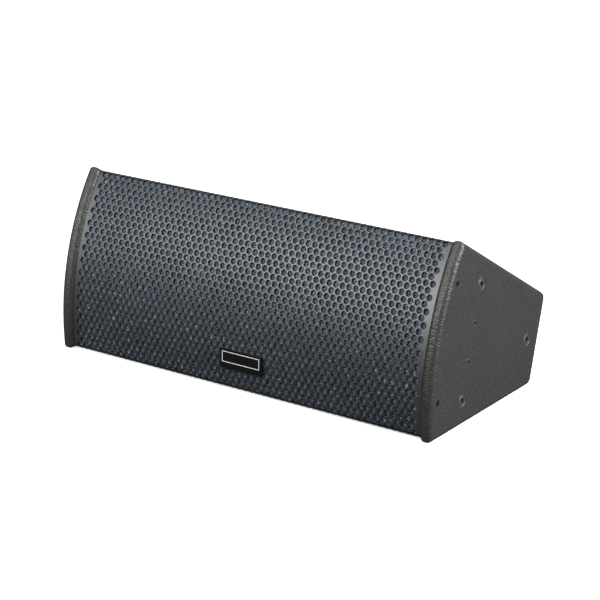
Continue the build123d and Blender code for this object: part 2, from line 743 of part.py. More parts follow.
def hf_phase_plug():
    """Bullet in the mouth of the pole, on three thin fins."""
    bullet = turned(
        (0.0, HF_FRONT - 3.0),
        (PLUG_RADIUS, HF_TOP_BACK + 1.0),
        (PLUG_RADIUS, HF_TOP_BACK - 0.5),
        (0.0, HF_TOP_BACK - 3.5),
    )
    fin = Pos(PLUG_RADIUS + 0.3, 0, HF_TOP_BACK + 3.5) * Box(3.2, 1.0, 5.0)
    for angle in (0, 120, 240):
        bullet += Rot(0, 0, angle) * fin
    return facing_front(0) * bullet


def hf_diaphragm():
    """Thin dome with its voice coil hanging in the gap."""
    rim = HF_COIL_RADIUS + HF_FORMER
    cap = Rot(180, 0, 0) * dome(rim, 8.0, 0.5, -HF_TOP_BACK + 0.6)
    coil = ring(HF_COIL_RADIUS, rim, HF_TOP_BACK - 1.0, HF_TOP_BACK + 5.0)
    return facing_front(0) * (cap + coil)


def hf_suspension():
    """Flat ring that holds the dome's rim to the plate."""
    inner = HF_COIL_RADIUS + HF_FORMER + FIT
    return facing_front(0) * ring(inner, HF_RIM_RADIUS, HF_TOP_BACK - 0.5, HF_TOP_BACK)


def hf_rear_cover():
    """Cap over the diaphragm."""
    cover = turned(
        (HF_RIM_RADIUS + 0.5, HF_TOP_BACK),
        (HF_COVER_RADIUS, HF_TOP_BACK),
        (HF_COVER_RADIUS, HF_TOP_BACK - 17.0),
        (HF_COVER_RADIUS - 3.0, HF_TOP_BACK - 20.0),
        (0.0, HF_TOP_BACK - 20.0),
        (0.0, HF_TOP_BACK - 16.5),
        (HF_RIM_RADIUS + 0.5, HF_TOP_BACK - 16.5),
    )
    return facing_front(0) * cover


def port_duct(side):
    """Rectangular vent pipe set flush in the baffle."""
    wall = 2.0 * PORT_WALL
    outer = RectangleRounded(PORT_WIDTH + wall, PORT_HEIGHT + wall, 3.0)
    duct = extrude(outer - RectangleRounded(PORT_WIDTH, PORT_HEIGHT, 6.0), -PORT_LENGTH)
    return facing_front(side * PORT_X) * duct


# --- rear connectors -----------------------------------------------------------------------------
CONNECTOR_WIDTH = 112.0
CONNECTOR_HEIGHT = 72.0
CONNECTOR_MARGIN = 7.0
SOCKET_FLANGE = 2.5
SOCKET_WIDTH = 26.0
SOCKET_HEIGHT = 31.0
SOCKET_SCREW_X = 9.5
SOCKET_SCREW_Y = 12.0
SOCKET_SHANK = 1.4
SOCKET_MOUTH = CONNECTOR_PLATE + SOCKET_FLANGE
SOCKET_LENGTH = SOCKET_POCKET_DEPTH + 4.0


def connector_screw_places():
    """Screw places at the corners of the connector plate."""
    x = CONNECTOR_WIDTH / 2.0 - CONNECTOR_MARGIN
    y = CONNECTOR_HEIGHT / 2.0 - CONNECTOR_MARGIN
    return [Pos(a * x, b * y, 0) for a in (-1, 1) for b in (-1, 1)]


def socket_screw_places():
    """Two screws on the diagonal of each socket."""
    return [
        Pos(side * SOCKET_X + a * SOCKET_SCREW_X, a * SOCKET_SCREW_Y, 0)
        for side in SIDES.values()
        for a in (-1, 1)
    ]


def connector_plate():
    """Steel plate that carries the two sockets."""
    plate = extrude(RectangleRounded(CONNECTOR_WIDTH, CONNECTOR_HEIGHT, 4.0), CONNECTOR_PLATE)
    plate = chamfer(plate.faces().sort_by(Axis.Z)[-1].edges(), 0.5)
    for place in connector_screw_places():
        plate -= place * rod(CONNECTOR_SHANK + 2.0 * FIT, -1.0, 3.0)
    for side in SIDES.values():
        plate -= Pos(side * SOCKET_X, 0, 0) * rod(SOCKET_RADIUS + 2.0 * FIT, -1.0, 3.0)
    for place in socket_screw_places():
        plate -= place * rod(SOCKET_SHANK + 2.0 * FIT, -1.0, 3.0)
    return facing_back(0) * plate


def socket(side):
    """Round four-pole speaker socket: flange, straight mouth with key slots, pocket and core."""
    flange = extrude(RectangleRounded(SOCKET_WIDTH, SOCKET_HEIGHT, 2.0), SOCKET_FLANGE)
    flange = Pos(0, 0, CONNECTOR_PLATE) * chamfer(flange.faces().sort_by(Axis.Z)[-1].edges(), 0.4)
    floor = SOCKET_MOUTH - SOCKET_POCKET_DEPTH
    bore_end = SOCKET_MOUTH - SOCKET_BORE_DEPTH
    body = flange + rod(SOCKET_RADIUS, SOCKET_MOUTH - SOCKET_LENGTH, CONNECTOR_PLATE + FIT)
    body -= rod(SOCKET_BORE_RADIUS, bore_end, SOCKET_MOUTH + 1.0)
    body -= rod(SOCKET_POCKET_RADIUS, floor, bore_end + 1.0)
    key_slot = Pos(SOCKET_BORE_RADIUS, 0, SOCKET_MOUTH - 2.0) * Box(2.4, 4.0, 8.0)
    for angle in (60, 240):
        body -= Rot(0, 0, angle) * key_slot
    body += rod(SOCKET_CORE_RADIUS, floor, floor + SOCKET_CORE_LENGTH)
    for corner in (1, -1):
        hole = rod(SOCKET_SHANK + 2.0 * FIT, 0.0, SOCKET_MOUTH + 1.0)
        body -= Pos(corner * SOCKET_SCREW_X, corner * SOCKET_SCREW_Y, 0) * hole
    return facing_back(side * SOCKET_X) * body


def connector_screws():
    """Four screws that hold the connector plate to the back panel."""
    fastener = Pos(0, 0, CONNECTOR_PLATE) * screw(3.2, 2.0, CONNECTOR_SHANK, 14.0)
    return group(facing_back(0) * place * fastener for place in connector_screw_places())


def socket_screws():
    """Four small screws that hold the sockets."""
    fastener = Pos(0, 0, SOCKET_MOUTH) * screw(2.5, 1.4, SOCKET_SHANK, 8.0)
    return group(facing_back(0) * place * fastener for place in socket_screw_places())


# --- crossover, damping and wiring -----------------------------------------------------------------
STANDOFF = 10.0
BOARD_SHEET = 1.6
BOARD_FLOOR = STANDOFF + BOARD_SHEET
BOARD_MARGIN = 6.0
STANDOFF_SHANK = 1.6
COIL_SIZES = [(-40.0, 8.0, 19.0, 16.0), (4.0, -10.0, 17.0, 14.0), (44.0, 12.0, 14.0, 12.0)]
CAPACITOR_SIZES = [(-44.0, -24.0, 6.0), (6.0, 18.0, 7.0), (44.0, -16.0, 6.5)]
CAPACITOR_LENGTH = 28.0
PAD_THICKNESS = 29.0
FLOOR_PAD_THICKNESS = 14.0
CABLE_RADIUS = 2.4
CABLE_BEND = 12.0


def board_place():
    """Middle of the crossover board, +Z pointing forwards off the inside of the back panel."""
    return facing_front(CROSSOVER_X, BACK_INSIDE)


def board_corners():
    """Places of the standoffs under the board."""
    x = BOARD_WIDTH / 2.0 - BOARD_MARGIN
    y = BOARD_HEIGHT / 2.0 - BOARD_MARGIN
    return [Pos(a * x, b * y, 0) for a in (-1, 1) for b in (-1, 1)]


def crossover_board():
    """Printed board of the crossover."""
    board = Pos(0, 0, STANDOFF) * extrude(Rectangle(BOARD_WIDTH, BOARD_HEIGHT), BOARD_SHEET)
    for place in board_corners():
        board -= place * rod(STANDOFF_SHANK + 2.0 * FIT, 0.0, BOARD_FLOOR + 1.0)
    return board_place() * board


def board_standoffs():
    """Four standoffs, each with the screw end that holds the board."""
    standoff = rod(4.0, 0.0, STANDOFF) + rod(STANDOFF_SHANK, STANDOFF, BOARD_FLOOR)
    standoff += rod(3.0, BOARD_FLOOR, BOARD_FLOOR + 2.0)
    return group(board_place() * place * standoff for place in board_corners())


def crossover_coils():
    """Three air-core coils."""
    return group(
        board_place() * Pos(x, y, BOARD_FLOOR) * ring(radius * 0.4, radius, 0.0, tall)
        for x, y, radius, tall in COIL_SIZES
    )


def crossover_capacitors():
    """Film capacitors lying on the board."""
    lying = Rot(0, 90, 0)
    return group(
        board_place() * Pos(x, y, BOARD_FLOOR + radius) * lying * Cylinder(radius, CAPACITOR_LENGTH)
        for x, y, radius in CAPACITOR_SIZES
    )


def damping_pads():
    """Blocks of wadding against the back panel and the bottom panel."""
    rear = Box(140.0, PAD_THICKNESS, 62.0)
    rear = Pos(-CROSSOVER_X, BACK_INSIDE - 0.5 - PAD_THICKNESS / 2.0, -2.0) * rear
    below = BOTTOM_INSET + PANEL_THICKNESS + 0.5
    floor = slab(BOTTOM, below, FLOOR_PAD_THICKNESS, 145.0, 200.0, 200.0)
    return group([rear, floor])


def lead(*points):
    """A round twin cable along straight runs with rounded corners."""
    path = FilletPolyline(*points, radius=CABLE_BEND)
    start = Plane(origin=path @ 0, z_dir=path % 0)
    return sweep(start * Circle(CABLE_RADIUS), path=path)


def wiring():
    """Leads from the two sockets to the crossover and from there to the three drivers."""
    board_face = BACK_INSIDE - BOARD_FLOOR
    board_edge = CROSSOVER_X - BOARD_WIDTH / 2.0 + BOARD_MARGIN
    socket_back = BODY_BACK + SOCKET_MOUTH - SOCKET_LENGTH
    turn = board_face - 27.0
    terminal_back = BAFFLE_DEPTH + TERMINAL_DEPTH + TERMINAL_HEIGHT / 2.0 + 4.0 * FIT
    terminal_x = WOOFER_X - FRAME_FOOT - TERMINAL_LENGTH + 3.0
    horn_side = HF_MAGNET_RADIUS + 2.8
    horn_depth = BAFFLE_DEPTH - HF_PLATE_BACK + 5.0
    sockets_to_board = lead(
        (SOCKET_X, socket_back, 3.0),
        (SOCKET_X, socket_back - 18.0, 3.0),
        (SOCKET_X + 46.0, turn, 3.0),
        (board_edge, turn, 3.0),
        (board_edge, board_face, 3.0),
    )
    socket_to_socket = lead(
        (-SOCKET_X, socket_back, -4.0),
        (-SOCKET_X, socket_back - 16.0, -4.0),
        (SOCKET_X - 5.0, socket_back - 16.0, -4.0),
        (SOCKET_X - 5.0, socket_back, -4.0),
    )
    to_right_woofer = lead(
        (board_edge, board_face, -12.0),
        (board_edge, 172.0, -12.0),
        (122.0, 150.0, -12.0),
        (122.0, 90.0, 0.0),
        (terminal_x, terminal_back, 0.0),
    )
    to_horn_driver = lead(
        (board_edge, board_face, 13.0),
        (board_edge, turn - 4.0, 13.0),
        (80.0, 150.0, 13.0),
        (80.0, 120.0, 0.0),
        (horn_side, horn_depth, 0.0),
    )
    to_left_woofer = lead(
        (board_edge, board_face, 22.0),
        (board_edge, turn - 4.0, 22.0),
        (60.0, 160.0, 22.0),
        (-84.0, 160.0, 20.0),
        (-122.0, 100.0, 0.0),
        (-terminal_x, terminal_back, 0.0),
    )
    return group(
        [sockets_to_board, socket_to_socket, to_right_woofer, to_horn_driver, to_left_woofer]
    )


# --- assembly ------------------------------------------------------------------------------------
def lay_on_bottom_face():
    """The move from the cabinet's own frame to the floor."""
    tilt = Rot(-HALF_WEDGE, 0, 0)
    box = (tilt * side_panel(1.0)).bounding_box()
    return Pos(0, -(box.min.Y + box.max.Y) / 2.0, -box.min.Z) * tilt


STAND_UP = lay_on_bottom_face()

pieces = {
    "top_panel": long_panel(TOP),
    "bottom_panel": long_panel(BOTTOM),
    "back_panel": back_panel(),
    "front_baffle": front_baffle(),
    "baffle_cleats": baffle_cleats(),
    "grille": grille(),
    "grille_foam": grille_foam(),
    "badge_plate": badge_plate(),
    "grille_screws": side_fixings(
        countersunk_screw(GRILLE_SCREW_HEAD, GRILLE_SCREW_SINK, GRILLE_SCREW_SHANK, GRILLE_SCREW_LENGTH),
        grille_screw_points(),
    ),
    "rigging_inserts": side_fixings(rigging_insert(), rigging_points()),
    "bracket_inserts": side_fixings(bracket_insert(), bracket_points()),
    "woofer_screws": woofer_screws(),
    "woofer_terminals": woofer_terminals(),
    "horn_flare": horn_flare(),
    "horn_screws": horn_screws(),
    "hf_bolts": hf_bolts(),
    "hf_pole_plate": hf_pole_plate(),
    "hf_magnet": hf_magnet(),
    "hf_top_plate": hf_top_plate(),
    "hf_phase_plug": hf_phase_plug(),
    "hf_diaphragm": hf_diaphragm(),
    "hf_suspension": hf_suspension(),
    "hf_rear_cover": hf_rear_cover(),
    "connector_plate": connector_plate(),
    "input_socket": socket(SIDES["left"]),
    "link_socket": socket(SIDES["right"]),
    "connector_screws": connector_screws(),
    "socket_screws": socket_screws(),
    "crossover_board": crossover_board(),
    "board_standoffs": board_standoffs(),
    "crossover_coils": crossover_coils(),
    "crossover_capacitors": crossover_capacitors(),
    "damping_pads": damping_pads(),
    "wiring": wiring(),
}

woofer_parts = {
    "basket": woofer_basket(),
    "gasket": woofer_gasket(),
    "surround": woofer_surround(),
    "cone": woofer_cone(),
    "dust_cap": woofer_dust_cap(),
    "voice_coil": woofer_voice_coil(),
    "spider": woofer_spider(),
    "top_plate": woofer_top_plate(),
    "magnet": woofer_magnet(),
    "yoke": woofer_yoke(),
}

for name, side in SIDES.items():
    pieces[f"{name}_side_panel"] = side_panel(side)
    pieces[f"{name}_brace"] = brace(side)
    pieces[f"{name}_port_duct"] = port_duct(side)
    for part_name, woofer_part in woofer_parts.items():
        pieces[f"{name}_woofer_{part_name}"] = facing_front(side * WOOFER_X) * woofer_part

os.makedirs("parts", exist_ok=True)
for name, piece in pieces.items():
    export_step(STAND_UP * piece, f"parts/{name}.step")
print(len(pieces), "nodes; laid down by", STAND_UP.position)
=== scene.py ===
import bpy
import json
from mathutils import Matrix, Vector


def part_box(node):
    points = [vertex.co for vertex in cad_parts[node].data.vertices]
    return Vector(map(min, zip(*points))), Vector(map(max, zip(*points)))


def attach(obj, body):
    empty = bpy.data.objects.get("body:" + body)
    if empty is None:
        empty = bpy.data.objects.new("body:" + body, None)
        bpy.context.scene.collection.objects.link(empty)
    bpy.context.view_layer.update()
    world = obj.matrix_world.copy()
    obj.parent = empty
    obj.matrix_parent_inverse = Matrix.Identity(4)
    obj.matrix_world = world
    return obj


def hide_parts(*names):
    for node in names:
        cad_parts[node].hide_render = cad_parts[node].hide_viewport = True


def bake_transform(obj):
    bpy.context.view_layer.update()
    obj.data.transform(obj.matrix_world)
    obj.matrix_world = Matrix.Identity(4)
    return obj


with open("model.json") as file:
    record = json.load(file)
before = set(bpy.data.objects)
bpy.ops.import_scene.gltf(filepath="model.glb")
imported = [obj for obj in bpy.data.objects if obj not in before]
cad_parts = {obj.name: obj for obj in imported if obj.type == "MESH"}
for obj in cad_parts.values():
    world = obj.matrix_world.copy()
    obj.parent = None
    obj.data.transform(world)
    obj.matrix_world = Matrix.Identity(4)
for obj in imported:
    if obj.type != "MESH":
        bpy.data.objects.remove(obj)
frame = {"nodes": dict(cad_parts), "record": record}

"""Looks of a stage monitor wedge: perforated grille, foam lining, badge line, flexing cone
edges, wadding, the finishes of every part, and a plain studio. Metres, in the shared frame."""

import json
import logging
import math
from dataclasses import dataclass, field
from enum import Enum
from typing import Iterable, Sequence

import bmesh
import bpy
import numpy as np
from mathutils import Matrix, Vector, noise

log = logging.getLogger("wedge")

MM = 0.001
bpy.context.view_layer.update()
Point = tuple[float, float, float]
Socket = bpy.types.NodeSocket


# --- nodes and colours -----------------------------------------------------------------------------
def add(
    tree: bpy.types.NodeTree, kind: str, settings: dict | None = None, links: dict | None = None
) -> bpy.types.Node:
    """Add a node to a tree.

    Args:
        tree: the node tree that gets the node.
        kind: the node's type name.
        settings: attributes by name, and input values by socket name or number.
        links: output sockets to join to its inputs, by socket name or number.

    Returns:
        The new node.
    """
    node = tree.nodes.new(kind)
    for name, value in (settings or {}).items():
        if isinstance(name, str) and hasattr(node, name):
            setattr(node, name, value)
        else:
            node.inputs[name].default_value = value
    for name, output in (links or {}).items():
        tree.links.new(output, node.inputs[name])
    return node


def maths(tree: bpy.types.NodeTree, operation: str, *terms: float | Socket) -> Socket:
    """Add a maths node.

    Args:
        tree: the node tree that gets it.
        operation: what it does with its inputs.
        terms: its inputs in order: numbers to set, or output sockets to link.

    Returns:
        Its result.
    """
    values = {i: term for i, term in enumerate(terms) if isinstance(term, (int, float))}
    linked = {i: term for i, term in enumerate(terms) if isinstance(term, Socket)}
    return add(tree, "ShaderNodeMath", {"operation": operation, **values}, linked).outputs[0]


def camera_choice(tree: bpy.types.NodeTree, lit: Socket, seen: Socket) -> Socket:
    """Pick one shader for what the camera sees and the other for all other rays.

    Args:
        tree: the material's or the world's node tree.
        lit: the shader that lights and reflections meet.
        seen: the shader that the camera meets.

    Returns:
        The chosen shader.
    """
    ray = add(tree, "ShaderNodeLightPath")
    mix = add(tree, "ShaderNodeMixShader", None, {0: ray.outputs["Is Camera Ray"], 1: lit, 2: seen})
    return mix.outputs[0]


def linear(code: str) -> tuple[float, float, float, float]:
    """Turn an sRGB hex colour into linear values.

    Args:
        code: six hex digits after a number sign.

    Returns:
        Linear red, green, blue and an alpha of one.
    """
    values = [int(code[i : i + 2], 16) / 255.0 for i in (1, 3, 5)]
    red, green, blue = [v / 12.92 if v <= 0.04045 else ((v + 0.055) / 1.055) ** 2.4 for v in values]
    return red, green, blue, 1.0


def per_metre(size_mm: float) -> float:
    """Texture scale whose features are about this many millimetres across."""
    return 1.0 / (size_mm * MM)


# --- finishes ----------------------------------------------------------------------------------------
class Pattern(Enum):
    """How a surface was made, which sets the relief and colour pattern it gets."""

    PEBBLED = "sprayed textured paint"
    GRIT = "powder coat, casting or moulding"
    CELLS = "open-cell foam"
    WOVEN = "woven cloth"
    PLY = "peeled birch veneer"
    TURNED = "turned or rolled metal"
    FIBRES = "pressed pulp or wadding"
    WOUND = "wound wire"


# How fine the plain noise patterns are along x, y and z; a small share draws the grain out that way.
GRAIN_STRETCH = {
    Pattern.PLY: (0.08, 1.0, 1.0),
    Pattern.TURNED: (1.0, 0.12, 1.0),
    Pattern.FIBRES: (1.0, 0.35, 1.0),
    Pattern.WOUND: (0.02, 1.0, 0.02),
    Pattern.GRIT: (1.0, 1.0, 1.0),
}
# Foam strands as distances from a cell's edge, in shares of a cell: full height, and no height left; the low
# pores between them get the near-black colour, a painted shade of their depth.
STRAND_CORE, STRAND_EDGE = 0.02, 0.15
# Slow change of shade over a surface: its size, and its share of the whole.
BLOTCH_MM, BLOTCH_SHARE = 60.0, 0.3
LOWEST_ROUGHNESS = 0.02


@dataclass(frozen=True)
class Finish:
    """One finish: two shades of its colour, a pattern with its size, and the shader's values."""

    name: str
    dark: str
    light: str
    pattern: Pattern
    grain_mm: float
    relief_mm: float
    roughness: float
    roughness_spread: float = 0.08
    metallic: float = 0.0
    ior: float = 1.5
    sheen: float = 0.0
    coat: float = 0.0
    specular: float = 0.5

    def height(self, tree: bpy.types.NodeTree, place: Socket) -> Socket:
        """Build the pattern's height.

        Args:
            tree: the material's node tree.
            place: object coordinates.

        Returns:
            A value from about 0, low, to 1, high.
        """
        scale = per_metre(self.grain_mm)
        spot = {"Vector": place}
        if self.pattern is Pattern.PEBBLED:
            smooth = {"feature": "SMOOTH_F1", "Scale": scale, "Smoothness": 0.7}
            drops = add(tree, "ShaderNodeTexVoronoi", smooth, spot)
            mist = add(tree, "ShaderNodeTexNoise", {"Scale": scale * 0.45, "Detail": 3.0}, spot)
            # The crowns come out high and take the lighter colour: a painted highlight on the pebble tops,
            # with painted shade in the hollows.
            crowns = maths(tree, "SUBTRACT", 1.0, drops.outputs["Distance"])
            return maths(tree, "MULTIPLY", crowns, mist.outputs["Fac"])
        if self.pattern is Pattern.CELLS:
            # Pores come out low and take the near-black colour: painted shade in the pores.
            pores = add(tree, "ShaderNodeTexVoronoi", {"feature": "DISTANCE_TO_EDGE", "Scale": scale}, spot)
            strand = {"From Min": STRAND_CORE, "From Max": STRAND_EDGE, "To Min": 1.0, "To Max": 0.0}
            return add(tree, "ShaderNodeMapRange", strand, {"Value": pores.outputs["Distance"]}).outputs[0]
        if self.pattern is Pattern.WOVEN:
            threads = []
            for direction in ("X", "Z"):
                bands = {"bands_direction": direction, "Scale": scale / math.tau, "Distortion": 0.4}
                threads.append(add(tree, "ShaderNodeTexWave", bands, spot).outputs["Fac"])
            return maths(tree, "MAXIMUM", *threads)
        along = add(tree, "ShaderNodeMapping", {"Scale": GRAIN_STRETCH[self.pattern]}, spot)
        cloudy = {"Scale": scale, "Detail": 4.0, "Roughness": 0.6}
        grain = add(tree, "ShaderNodeTexNoise", cloudy, {"Vector": along.outputs[0]})
        return grain.outputs["Fac"]

    def material(self) -> bpy.types.Material:
        """Build the material once and return it on every later call.

        Returns:
            The material.
        """
        made = bpy.data.materials.get(self.name)
        if made is not None:
            return made
        made = bpy.data.materials.new(self.name)
        made.use_nodes = True
        made.diffuse_color = linear(self.light)
        tree = made.node_tree
        tree.nodes.clear()
        place = add(tree, "ShaderNodeTexCoord").outputs["Object"]
        height = self.height(tree, place)
        blotch = add(
            tree, "ShaderNodeTexNoise", {"Scale": per_metre(BLOTCH_MM), "Detail": 2.0}, {"Vector": place}
        )
        # The colour follows the height: high parts of the relief get the light colour and low parts the dark
        # one, which paints shade into the hollows of the pebbled paint and the foam; the blotch adds slow
        # random change.
        share = maths(tree, "MULTIPLY_ADD", blotch.outputs["Fac"], BLOTCH_SHARE, height)
        shade = add(tree, "ShaderNodeMix", {"data_type": "RGBA"}, {"Factor": share})
        shade.inputs[6].default_value = linear(self.dark)
        shade.inputs[7].default_value = linear(self.light)
        low, high = self.roughness - self.roughness_spread, self.roughness + self.roughness_spread
        limits = {"To Min": max(LOWEST_ROUGHNESS, low), "To Max": high}
        rough = add(tree, "ShaderNodeMapRange", limits, {"Value": height})
        relief = {"Strength": 1.0, "Distance": self.relief_mm * MM}
        bump = add(tree, "ShaderNodeBump", relief, {"Height": height})
        shader = add(
            tree,
            "ShaderNodeBsdfPrincipled",
            {
                "Metallic": self.metallic,
                "IOR": self.ior,
                "Sheen Weight": self.sheen,
                "Coat Weight": self.coat,
                "Specular IOR Level": self.specular,
            },
            {"Base Color": shade.outputs[2], "Roughness": rough.outputs[0], "Normal": bump.outputs[0]},
        )
        add(tree, "ShaderNodeOutputMaterial", None, {"Surface": shader.outputs[0]})
        return made


# Polyurea paint sprayed on birch plywood: dark grey-black pebbles with a dull shine; the crowns are painted
# lighter as a painted highlight and the hollows darker as painted shade.
# Real ones are about 1.5 mm across; they are drawn 2.2 mm, coarser than real, so that they show.
CABINET_PAINT = Finish("polyurea_paint", "#242423", "#3B3B39", Pattern.PEBBLED, 2.2, 1.0, 0.47, 0.1)
# Bare birch plywood: pale honey veneer with long grain.
BIRCH = Finish("birch_plywood", "#B48F62", "#D9BC8E", Pattern.PLY, 2.5, 0.05, 0.6, ior=1.45)
# Powder coat over punched mild steel: smooth black film, satin, fine orange peel.
POWDER_COAT = Finish(
    "satin_powder_coat", "#222426", "#2C2F32", Pattern.GRIT, 0.9, 0.03, 0.38, 0.05, specular=0.8
)
# Polyurethane acoustic foam: light blue-grey strands round open pores painted near-black as painted shade of
# their depth, matt.
# Real pores are about 1 mm across; they are drawn 2.8 mm, coarser than real, so that they show.
ACOUSTIC_FOAM = Finish(
    "acoustic_foam", "#07090B", "#8E9DAE", Pattern.CELLS, 2.8, 1.1, 0.75, 0.15, specular=0.15
)
# Stoved enamel on a pressed plate: deep black, glossy.
ENAMEL = Finish("black_enamel", "#070708", "#0D0D0E", Pattern.GRIT, 0.8, 0.01, 0.25, 0.05)
# White lacquered line standing on the badge: smooth, slightly glossy.
LACQUER = Finish("white_lacquer", "#D9D7D6", "#F4F3F2", Pattern.GRIT, 0.6, 0.01, 0.35)
# Black-passivated zinc on steel screws: dark, slightly warm metal.
BLACK_ZINC = Finish("black_zinc", "#2B2A29", "#4A4846", Pattern.TURNED, 0.6, 0.02, 0.42, metallic=1.0)
# Steel inserts under a thin mist of the cabinet's paint: dark grey, slightly rough.
SPRAYED_STEEL = Finish("sprayed_steel", "#2B2B2A", "#3E3D3B", Pattern.GRIT, 1.0, 0.05, 0.5, 0.08)
# Black oxide on a rolled steel plate.
BLACK_OXIDE = Finish("black_oxide", "#161616", "#222223", Pattern.GRIT, 0.7, 0.02, 0.45)
# Painted aluminium casting: grainy charcoal.
CASTING = Finish("painted_casting", "#1D1E1F", "#2E2F31", Pattern.GRIT, 1.2, 0.08, 0.5)
# Ground strontium ferrite: flat dark grey, slightly sparkling.
FERRITE = Finish("ground_ferrite", "#202124", "#3A3B3F", Pattern.GRIT, 0.6, 0.03, 0.55)
# Zinc-plated soft iron: pale turned metal.
ZINC_IRON = Finish("zinc_plated_iron", "#9C9DA0", "#C4C5C8", Pattern.TURNED, 0.8, 0.02, 0.35, metallic=1.0)
# Pressed black pulp: matt with short fibres.
PULP = Finish("pressed_pulp", "#121212", "#2B2A28", Pattern.FIBRES, 1.1, 0.12, 0.8, ior=1.45)
# Cotton soaked in damping varnish: dark woven cloth with a dull shine.
COATED_COTTON = Finish("coated_cotton", "#0F0F10", "#262628", Pattern.WOVEN, 0.8, 0.1, 0.5, sheen=0.1)
# Phenolic-dipped cotton: amber woven cloth.
AMBER_COTTON = Finish("phenolic_cotton", "#7E5420", "#B88541", Pattern.WOVEN, 0.9, 0.12, 0.7, sheen=0.1)
# Closed-cell rubber: matt black.
RUBBER = Finish("closed_cell_rubber", "#0E0E0E", "#1B1B1B", Pattern.GRIT, 0.7, 0.05, 0.75)
# Enamelled copper wire, wound in layers: warm metal with fine ridges.
COPPER = Finish(
    "enamelled_copper", "#8A4320", "#C77A45", Pattern.WOUND, 0.8, 0.1, 0.3, metallic=1.0, coat=0.5
)
# Glass-filled ABS: moulded matt black.
MOULDED = Finish("moulded_abs", "#111112", "#1C1C1D", Pattern.GRIT, 0.8, 0.04, 0.48, ior=1.54)
# Titanium foil dome: pale grey metal.
TITANIUM = Finish("titanium_foil", "#8B8C8F", "#B2B3B6", Pattern.TURNED, 0.6, 0.02, 0.3, metallic=1.0)
# Glass-filled nylon of the sockets: black, slightly glossy.
NYLON = Finish("glass_filled_nylon", "#0C0C0D", "#171718", Pattern.GRIT, 0.6, 0.03, 0.35, ior=1.53)
# Epoxy laminate of the board: dark green solder mask.
LAMINATE = Finish("epoxy_laminate", "#0D3A20", "#17563A", Pattern.WOVEN, 1.0, 0.02, 0.35, ior=1.55)
# Wrapped polyester film: yellow, smooth.
FILM = Finish("polyester_film", "#B5A21E", "#D8C437", Pattern.GRIT, 1.5, 0.01, 0.25, ior=1.58)
# Bonded polyester wadding: off-white fibres.
WADDING = Finish(
    "polyester_wadding", "#BDBBB3", "#E6E4DD", Pattern.FIBRES, 2.2, 0.6, 0.95, ior=1.4, sheen=0.4
)
# PVC cable sheath: soft black.
SHEATH = Finish("pvc_sheath", "#0D0D0D", "#1A1A1A", Pattern.GRIT, 0.9, 0.02, 0.45, ior=1.53)

FINISH_OF_SLOT = {
    "cabinet_paint": CABINET_PAINT,
    "inner_plywood": BIRCH,
    "grille_paint": POWDER_COAT,
    "grille_foam": ACOUSTIC_FOAM,
    "badge_enamel": ENAMEL,
    "zinc_steel": BLACK_ZINC,
    "black_steel": BLACK_OXIDE,
    "cast_frame": CASTING,
    "ferrite": FERRITE,
    "plated_iron": ZINC_IRON,
    "cone_paper": PULP,
    "coated_cloth": COATED_COTTON,
    "spider_cloth": AMBER_COTTON,
    "gasket_foam": RUBBER,
    "copper_wire": COPPER,
    "horn_moulding": MOULDED,
    "diaphragm_metal": TITANIUM,
    "socket_plastic": NYLON,
    "board_laminate": LAMINATE,
    "capacitor_film": FILM,
    "wadding": WADDING,
    "cable_sheath": SHEATH,
}
# Parts that were sprayed together with the cabinet, whatever their slot says.
FINISH_OF_NODE = {"rigging_inserts": SPRAYED_STEEL, "bracket_inserts": SPRAYED_STEEL}


# --- meshes ------------------------------------------------------------------------------------------
def new_piece(
    name: str, points: Sequence, faces: Iterable[Sequence[int]], finish: Finish
) -> bpy.types.Object:
    """Make a mesh piece whose corners hold its place.

    Args:
        name: the piece's name.
        points: corners in the shared frame.
        faces: corner numbers of each face.
        finish: what it is made of.

    Returns:
        The new object, linked to the scene.
    """
    mesh = bpy.data.meshes.new(name)
    mesh.from_pydata([tuple(p) for p in points], [], [tuple(f) for f in faces])
    mesh.materials.append(finish.material())
    piece = bpy.data.objects.new(name, mesh)
    bpy.context.scene.collection.objects.link(piece)
    return piece


def tidy_mesh(piece: bpy.types.Object, merge: float = 1e-6, smooth_degrees: float = 35.0) -> None:
    """Merge doubles, point the faces outwards and smooth all but the sharp edges.

    Args:
        piece: the mesh to tidy.
        merge: corners closer than this become one.
        smooth_degrees: edges that turn by less than this are shaded smooth.
    """
    grid = bmesh.new()
    grid.from_mesh(piece.data)
    bmesh.ops.remove_doubles(grid, verts=grid.verts, dist=merge)
    bmesh.ops.recalc_face_normals(grid, faces=grid.faces)
    limit = math.radians(smooth_degrees)
    for edge in grid.edges:
        edge.smooth = len(edge.link_faces) == 2 and edge.calc_face_angle(0.0) < limit
    for face in grid.faces:
        face.smooth = True
    grid.to_mesh(piece.data)
    grid.free()


def plain_mesh(piece: bpy.types.Object) -> None:
    """Turn a piece's modifiers into its mesh and remove them.

    Args:
        piece: the object that carries them.
    """
    graph = bpy.context.evaluated_depsgraph_get()
    made = bpy.data.meshes.new_from_object(piece.evaluated_get(graph))
    made.name = piece.name
    piece.modifiers.clear()
    piece.data = made


